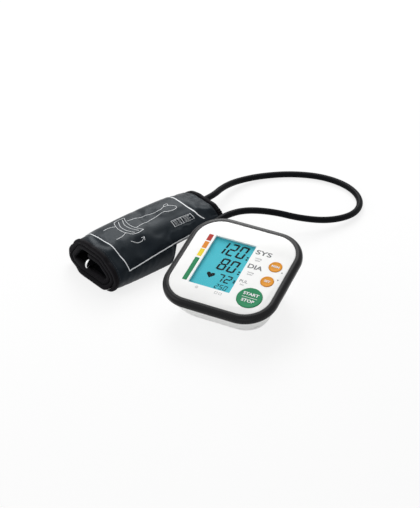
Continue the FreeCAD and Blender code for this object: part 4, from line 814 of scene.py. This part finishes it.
def wound_path():
    """The wound strip's middle line from its inner end, as lines and clockwise arcs, and its length."""
    cuff = bpy.context.scene.cuff_sizes
    pitch = cuff.strip + cuff.gap
    outer = (cuff.height - cuff.strip + pitch) / 2
    corners = []
    for turn in (2, 1, 0):
        right = outer - turn * pitch
        left = right + pitch / 2
        corners += [(RIGHT_SHOULDER, right), (RIGHT_FOOT, right - RIGHT_EASE),
                    (LEFT_FOOT, left - LEFT_EASE), (LEFT_SHOULDER, left)]
    corners = corners[:-2]
    top = RIGHT_SHOULDER[1] + corners[0][1]
    path = [("line", (-43 * MM, top), (RIGHT_SHOULDER[0], top))]
    angle = 90
    for (centre, radius), (next_centre, next_radius) in zip(corners, corners[1:]):
        apart = Vector(next_centre) - Vector(centre)
        off = math.degrees(math.atan2(apart.y, apart.x) + math.acos((radius - next_radius) / apart.length))
        off -= 360 * math.ceil((off - angle) / 360)
        path.append(("arc", centre, radius, angle, off))
        out = Vector((math.cos(math.radians(off)), math.sin(math.radians(off))))
        ends = Vector(centre) + out * radius, Vector(next_centre) + out * next_radius
        path.append(("line", *(tuple(end) for end in ends)))
        angle = off
    centre, radius = corners[-1]
    path.append(("arc", centre, radius, angle, 360 * math.floor(angle / 360)))
    path.append(("line", (centre[0] + radius, centre[1]), (centre[0] + radius, 0.4 * MM)))
    return path, sum(path_length(part) for part in path)


def path_length(part):
    """The length of one line or arc of the wound path."""
    if part[0] == "line":
        return math.dist(part[1], part[2])
    return math.radians(abs(part[4] - part[3])) * part[2]


def on_path(path, distance):
    """The spot at a distance along the wound path, and the outward direction there."""
    for part in path:
        reach = path_length(part)
        if distance <= reach or part is path[-1]:
            share = distance / reach
            if part[0] == "line":
                (x1, z1), (x2, z2) = part[1:]
                spot = (x1 + (x2 - x1) * share, z1 + (z2 - z1) * share)
                return spot, (-(z2 - z1) / reach, (x2 - x1) / reach)
            angle = math.radians(part[3] + (part[4] - part[3]) * share)
            out = (math.cos(angle), math.sin(angle))
            return (part[1][0] + part[2] * out[0], part[1][1] + part[2] * out[1]), out
        distance -= reach


def cut_back(total, distance, along):
    """How far a place is drawn back, because the free end is cut back towards the far end."""
    depth = CUT_DEPTH * smooth((along - 84 * MM) / (10 * MM))
    return depth * smooth((distance - total + CUT_REACH) / CUT_REACH)


def on_cuff(wound, distance, along, height, cut=True):
    """A point of the soft roll, from its place along and across the strip and its height off it."""
    path, total = wound
    height = pleated(total, distance, along, height)
    cuff = bpy.context.scene.cuff_sizes
    far = along / cuff.roll
    (across, level), out = on_path(path, distance - (cut_back(total, distance, along) if cut else 0))
    across, level = across + out[0] * height, level + out[1] * height
    # the soft roll sags a little, and its far end leans towards the console
    across += cuff.lean * far ** 4 * level / cuff.height
    level *= 0.975 - 0.015 * far ** 4
    low = smooth(1 - level / (16 * MM)) * smooth((across + 74 * MM) / (26 * MM))
    low *= smooth((14 * MM - across) / (24 * MM))
    flap = max(0.0, 1 - level / (15 * MM)) ** 2 * smooth((across + 4 * MM) / (6 * MM))
    across -= 10 * MM * (1 - far) ** 3 * flap
    # beyond the cut the inner turns' foot stands back under the outer turn
    foot = smooth((across + 24 * MM) / (22 * MM)) * smooth((24 * MM - level) / (16 * MM))
    across -= FOOT_BACK * foot * smooth((along - 88 * MM) / (14 * MM))
    return Vector((across, along - 6 * MM * (1 - far) ** 6 * low, max(level, LOWEST)))


def smooth(share):
    """A share held between 0 and 1, with soft ends."""
    share = max(0.0, min(1.0, share))
    return share * share * (3 - 2 * share)


def wrapped(name, first, last, section, sides, rings):
    """A closed piece along the wound strip, from a cylinder whose section is given by its angle.

    Its UV map "cloth" is in metres, along the strip and across it.
    """
    fresh()
    bpy.ops.mesh.primitive_cylinder_add(vertices=sides, radius=1, depth=1, end_fill_type="NGON")
    piece = bpy.context.object
    piece.name = name
    for cuts in rings:
        pick(piece, "EDGE", lambda mesh, edge: span(mesh, edge, 2) > 1e-4)
        bpy.ops.mesh.subdivide(number_cuts=cuts - 1)
        bpy.ops.object.mode_set(mode="OBJECT")
    spots = []
    for vertex in piece.data.vertices:
        along, height = section(math.atan2(vertex.co.y, vertex.co.x) % (2 * math.pi))
        spots.append((first + (last - first) * (vertex.co.z + 0.5), along, height))
    for old_layer in list(piece.data.uv_layers):
        piece.data.uv_layers.remove(old_layer)
    layer = piece.data.uv_layers.new(name="cloth")
    for loop in piece.data.loops:
        layer.data[loop.index].uv = spots[loop.vertex_index][:2]
    wound = wound_path()
    for vertex, spot in zip(piece.data.vertices, spots):
        vertex.co = on_cuff(wound, *spot)
    # the two ends are long and bent, so small triangles close them
    pick(piece, "FACE", lambda mesh, face: len(face.vertices) > 4)
    bpy.ops.mesh.quads_convert_to_tris(quad_method="BEAUTY", ngon_method="BEAUTY")
    return leave(piece), spots


def lens(angle):
    """Where the outline of a flat section is at an angle: across and up, each from -1 to 1."""
    share = 1 - 2 * abs(angle / math.pi - 1)
    return share, math.copysign(math.sqrt(max(0.0, 1 - share ** 8)), math.pi - angle)


OUTER_TURN = 170 * MM        # how much of the strip, from its free end, can be seen from outside
LOWEST = 0.1 * MM            # nothing of the cuff goes lower
FILL_FRAMES = 20             # how long the padded cloth is filled


def pleated(total, distance, along, height):
    """A height off the strip's middle, with pleats on the outer turn, deepest beside the tapes."""
    cuff = bpy.context.scene.cuff_sizes
    shown = smooth((distance - total + OUTER_TURN) / (20 * MM)) * smooth(height / (1 * MM))
    edge = min(along, cuff.roll - along)
    wide = noise.noise(Vector((distance / (34 * MM), along / (46 * MM), 3.1)))
    fold = noise.noise(Vector((distance / (8 * MM), along / (60 * MM), 7.7)))
    return height + cuff.pleat * shown * (wide * 0.7 + (fold + 0.3) * 1.5 * math.exp(-edge / (13 * MM)))


def fill_cloth(strip, spots, total):
    """Fills the padded strip by simulated cloth, held at the taped edges and the hidden turns."""
    scene = bpy.context.scene
    cuff = scene.cuff_sizes
    rest = [vertex.co.copy() for vertex in strip.data.vertices]
    held = strip.vertex_groups.new(name="held")
    for index, (distance, along, height) in enumerate(spots):
        edge = min(along, cuff.roll - along)
        grip = 1 - smooth((edge - cuff.tape) / (6 * MM)) * smooth((distance - total + OUTER_TURN) / (20 * MM))
        grip = max(grip, 1 - smooth((total - distance) / (40 * MM)), 1 - smooth(height / (1 * MM)))
        held.add([index], grip, "REPLACE")
    take(strip)
    bpy.ops.object.modifier_add(type="CLOTH")
    cloth = strip.modifiers[-1]
    assign(cloth.settings, quality=6, mass=0.15, tension_stiffness=12, compression_stiffness=12,
           bending_stiffness=0.35, vertex_group_mass="held", use_pressure=True, uniform_pressure_force=2.0,
           shrink_min=-0.035)
    cloth.settings.effector_weights.gravity = 0
    assign(cloth.point_cache, frame_start=1, frame_end=FILL_FRAMES)
    for frame_number in range(1, FILL_FRAMES + 1):
        scene.frame_set(frame_number)
    bpy.ops.object.modifier_apply(modifier=cloth.name)
    scene.frame_set(1)
    for vertex, before in zip(strip.data.vertices, rest):
        move = vertex.co - before
        if move.length > cuff.swell:
            vertex.co = before + move * (cuff.swell / move.length)
        vertex.co.z = max(vertex.co.z, LOWEST)


def inner_side(strip, path, total):
    """Gives the lining to the strip's faces that look towards the roll's core."""
    layer = strip.data.uv_layers["cloth"]
    turn_back = cuff_place().inverted().to_3x3()
    for face in strip.data.polygons:
        _, out = on_path(path, max(0.0, min(total, layer.data[face.loop_start].uv[0])))
        normal = turn_back @ face.normal
        face.material_index = 1 if normal.x * out[0] + normal.z * out[1] < -0.2 else 0


class MONITOR_OT_cuff(bpy.types.Operator):
    """Add the wound cuff: its padded strip, taped edges and hook patch"""
    bl_idname = "monitor.cuff"
    bl_label = "Rolled cuff"

    def execute(self, context):
        cuff = context.scene.cuff_sizes
        place = cuff_place()
        half = cuff.roll / 2
        thick = cuff.strip / 2 - 0.1 * MM
        path, total = wound_path()

        def strip_section(angle):
            share, flat = lens(angle)
            return half + (half - 1.2 * MM) * share, flat * thick

        strip, spots = wrapped("cuff_strip", 0, total, strip_section, 80, (10, 12))
        fill_cloth(strip, spots, total)
        apply_modifier(strip, "SUBSURF", levels=1, render_levels=1)
        dress(strip, "cuff_set", "cuff_cloth", ["cuff_outer_cloth", "cuff_inner_cloth", "air_bladder"],
              place, 60)
        strip.data.materials.append(finish("lining_cloth"))
        inner_side(strip, path, total)

        for name, middle, node in (("near_edge_tape", cuff.tape / 2 - 0.3 * MM, "near_binding"),
                                   ("far_edge_tape", cuff.roll - cuff.tape / 2 + 0.3 * MM, "far_binding")):
            def tape_section(angle, middle=middle):
                across, flat = (math.copysign(abs(v) ** 0.6, v) for v in (math.cos(angle), math.sin(angle)))
                return middle - across * cuff.tape / 2, flat * (cuff.strip / 2 + 0.25 * MM)

            tape, _ = wrapped(name, -0.4 * MM, total + 0.3 * MM, tape_section, 20, (15, 16))
            dress(tape, "cuff_set", "binding_cloth", [node], place, 60)

        def hook_section(angle):
            share, flat = lens(angle)
            return half + (half - 12 * MM) * share, -thick - 0.3 * MM + flat * 0.35 * MM

        hook, _ = wrapped("hook_tape_patch", total - 14 * MM, total - 1 * MM, hook_section, 80, (6, 2))
        dress(hook, "cuff_set", "hook_nylon", ["hook_patch"], place, 60)
        return {"FINISHED"}


def drawn_on_cuff(name, lines, width, ink, cut=True):
    """Strokes on the outer cloth, along lines of places along and across the strip."""
    fine = []
    for line in lines:
        points = [line[0]]
        for (x1, y1), (x2, y2) in zip(line, line[1:]):
            steps = max(1, round(math.hypot(x2 - x1, y2 - y1) / STROKE_STEP))
            points += [(x1 + (x2 - x1) * i / steps, y1 + (y2 - y1) * i / steps) for i in range(1, steps + 1)]
        fine.append(points)
    piece = drawn(name, fine, width, width * 0.12)
    wound = wound_path()
    thick = bpy.context.scene.cuff_sizes.strip / 2
    for vertex in piece.data.vertices:
        distance, along, _ = vertex.co
        vertex.co = on_cuff(wound, distance, along, thick, cut)
    piece.data.transform(cuff_place())
    apply_modifier(piece, "SHRINKWRAP", target=bpy.data.objects["cuff_strip"], wrap_mode="ABOVE_SURFACE",
                   wrap_method="NEAREST_SURFACEPOINT", offset=INK_THICKNESS)
    apply_modifier(piece, "SOLIDIFY", thickness=INK_THICKNESS, offset=0.0)
    dress(piece, "cuff_set", ink, (), None, 60)


STROKE_STEP = 2.5 * MM       # longest straight step of a line on the cloth
INK_THICKNESS = 0.10 * MM


def eased(points, steps=5):
    """A smooth line through some points, by Catmull-Rom steps between them."""
    ends = [points[0], *points, points[-1]]
    line = [points[0]]
    for four in zip(ends, ends[1:], ends[2:], ends[3:]):
        a, b, c, d = (Vector(point) for point in four)
        for step in range(1, steps + 1):
            t = step / steps
            twice = 2 * b + (c - a) * t + (2 * a - 5 * b + 4 * c - d) * t ** 2
            twice += (3 * b - a - 3 * c + d) * t ** 3
            line.append(tuple(twice / 2))
    return line


class MONITOR_OT_cuff_print(bpy.types.Operator):
    """Add the white frame, the plain line drawing, the little table and the stitches on the cuff"""
    bl_idname = "monitor.cuff_print"
    bl_label = "Cuff print"

    def execute(self, context):
        cuff = context.scene.cuff_sizes
        _, total = wound_path()
        crest = total - 60 * MM      # where the top of the outer turn begins to fall to the right
        low, upper = total - 22.3 * MM, total - 118 * MM
        near, far = 15 * MM, 135 * MM

        def line(*points, soft=True, move=(-8, 4.5)):
            spots = [(crest + (x + move[0]) * MM, (y + move[1]) * MM) for x, y in points]
            return eased(spots) if soft else spots

        band = [line((-19, 45), (-14, 42), (-6, 40), (3, 41), (9, 44), (12, 47)),
                line((-19, 60), (-14, 57), (-6, 55), (3, 56), (9, 59), (12, 62)),
                line((-19, 45), (-20, 52), (-19, 60)), line((12, 47), (13, 54), (12, 62)),
                line((-17, 49.5), (-12, 46.5), (-6, 44.5), (3, 45.5), (11, 50)),
                line((-17, 55.5), (-12, 52.5), (-6, 50.5), (3, 51.5), (11, 56))]
        arm = [line((-12, 58), (-10, 70), (-7, 88), (-6, 102), (-8, 107), (-7, 114), (-3, 119), (1, 119),
                    (3, 113), (2, 106), (0, 101), (1, 88), (3, 72), (5, 58)),
               line((-8, 108), (-11, 111), (-11, 115), (-8, 114)), line((-12, 41), (-15, 33), (-15, 26)),
               line((5, 42), (8, 34), (8, 26))]
        turn_sign = [line((18, 38), (22, 43), (23, 50), (20, 56)), line((20, 56), (23.5, 54), soft=False),
                     line((20, 56), (19.5, 52), soft=False)]
        table = [[(9, 103), (9, 130), (24, 130), (24, 103), (9, 103)], [(9, 116), (24, 116)]]
        for row in range(5):
            x = 11 + 2.8 * row
            table += [[(x, 105), (x, 109.5)], [(x, 111), (x, 114)], [(x, 118.5), (x, 127 - 2 * (row % 2))]]
        table = [line(*box, soft=False, move=(0, 0)) for box in table]
        frame_lines = [[(upper, near), (low, near + 6 * MM), (low - 5.5 * MM, 128 * MM)]]
        end_line = [eased([(upper, far - 2 * MM), (crest, far), (low, far + 6 * MM)], 12)]
        for name, lines, width, cut in (
                ("printed_frame", frame_lines, 1.1, False), ("printed_end_line", end_line, 1.5, True),
                ("printed_drawing", band + arm + turn_sign, 0.5, True), ("printed_table", table, 0.5, True)):
            drawn_on_cuff(name, lines, width * MM, "ink_cuff", cut=cut)

        first, pitch = total - OUTER_TURN + 10 * MM, 3.2 * MM
        inset = cuff.tape + 1.2 * MM
        for name, along in (("near_stitches", inset), ("far_stitches", cuff.roll - inset)):
            lines = [[(first + i * pitch, along), (first + i * pitch + 2.0 * MM, along)]
                     for i in range(int((total - 2 * MM - first) / pitch))]
            drawn_on_cuff(name, lines, 0.4 * MM, "thread_grey")
        return {"FINISHED"}


class MONITOR_PT_pieces(bpy.types.Panel):
    """The monitor's pieces and sizes in the sidebar"""
    bl_idname = "MONITOR_PT_pieces"
    bl_label = "Blood Pressure Monitor"
    bl_space_type = "VIEW_3D"
    bl_region_type = "UI"
    bl_category = "Monitor"

    def draw(self, context):
        for operator in STEPS:
            self.layout.operator(operator.bl_idname)
        for group_name, group in GROUPS.items():
            box = self.layout.box()
            for name in group.__annotations__:
                box.prop(getattr(context.scene, group_name), name)


GROUPS = {"console_sizes": ConsoleSizes, "cuff_sizes": CuffSizes, "monitor_colours": MonitorColours,
          "studio_light": StudioLight}
STEPS = (MONITOR_OT_stage, MONITOR_OT_hose, MONITOR_OT_shell, MONITOR_OT_buttons, MONITOR_OT_display,
         MONITOR_OT_labels, MONITOR_OT_cuff, MONITOR_OT_cuff_print, MONITOR_OT_packed)


def register():
    """Registers the settings, the operators and the panel."""
    for name, group in GROUPS.items():
        bpy.utils.register_class(group)
        setattr(bpy.types.Scene, name, bpy.props.PointerProperty(type=group))
    for part in (*STEPS, MONITOR_PT_pieces):
        bpy.utils.register_class(part)


def unregister():
    """Takes the panel, the operators and the settings out again."""
    for part in (MONITOR_PT_pieces, *reversed(STEPS)):
        bpy.utils.unregister_class(part)
    for name, group in GROUPS.items():
        delattr(bpy.types.Scene, name)
        bpy.utils.unregister_class(group)


def main():
    """Builds the monitor."""
    register()
    for step in (bpy.ops.monitor.stage, bpy.ops.monitor.hose, bpy.ops.monitor.shell, bpy.ops.monitor.buttons,
                 bpy.ops.monitor.display, bpy.ops.monitor.labels, bpy.ops.monitor.cuff,
                 bpy.ops.monitor.cuff_print, bpy.ops.monitor.packed):
        step()


if __name__ == "__main__":
    main()
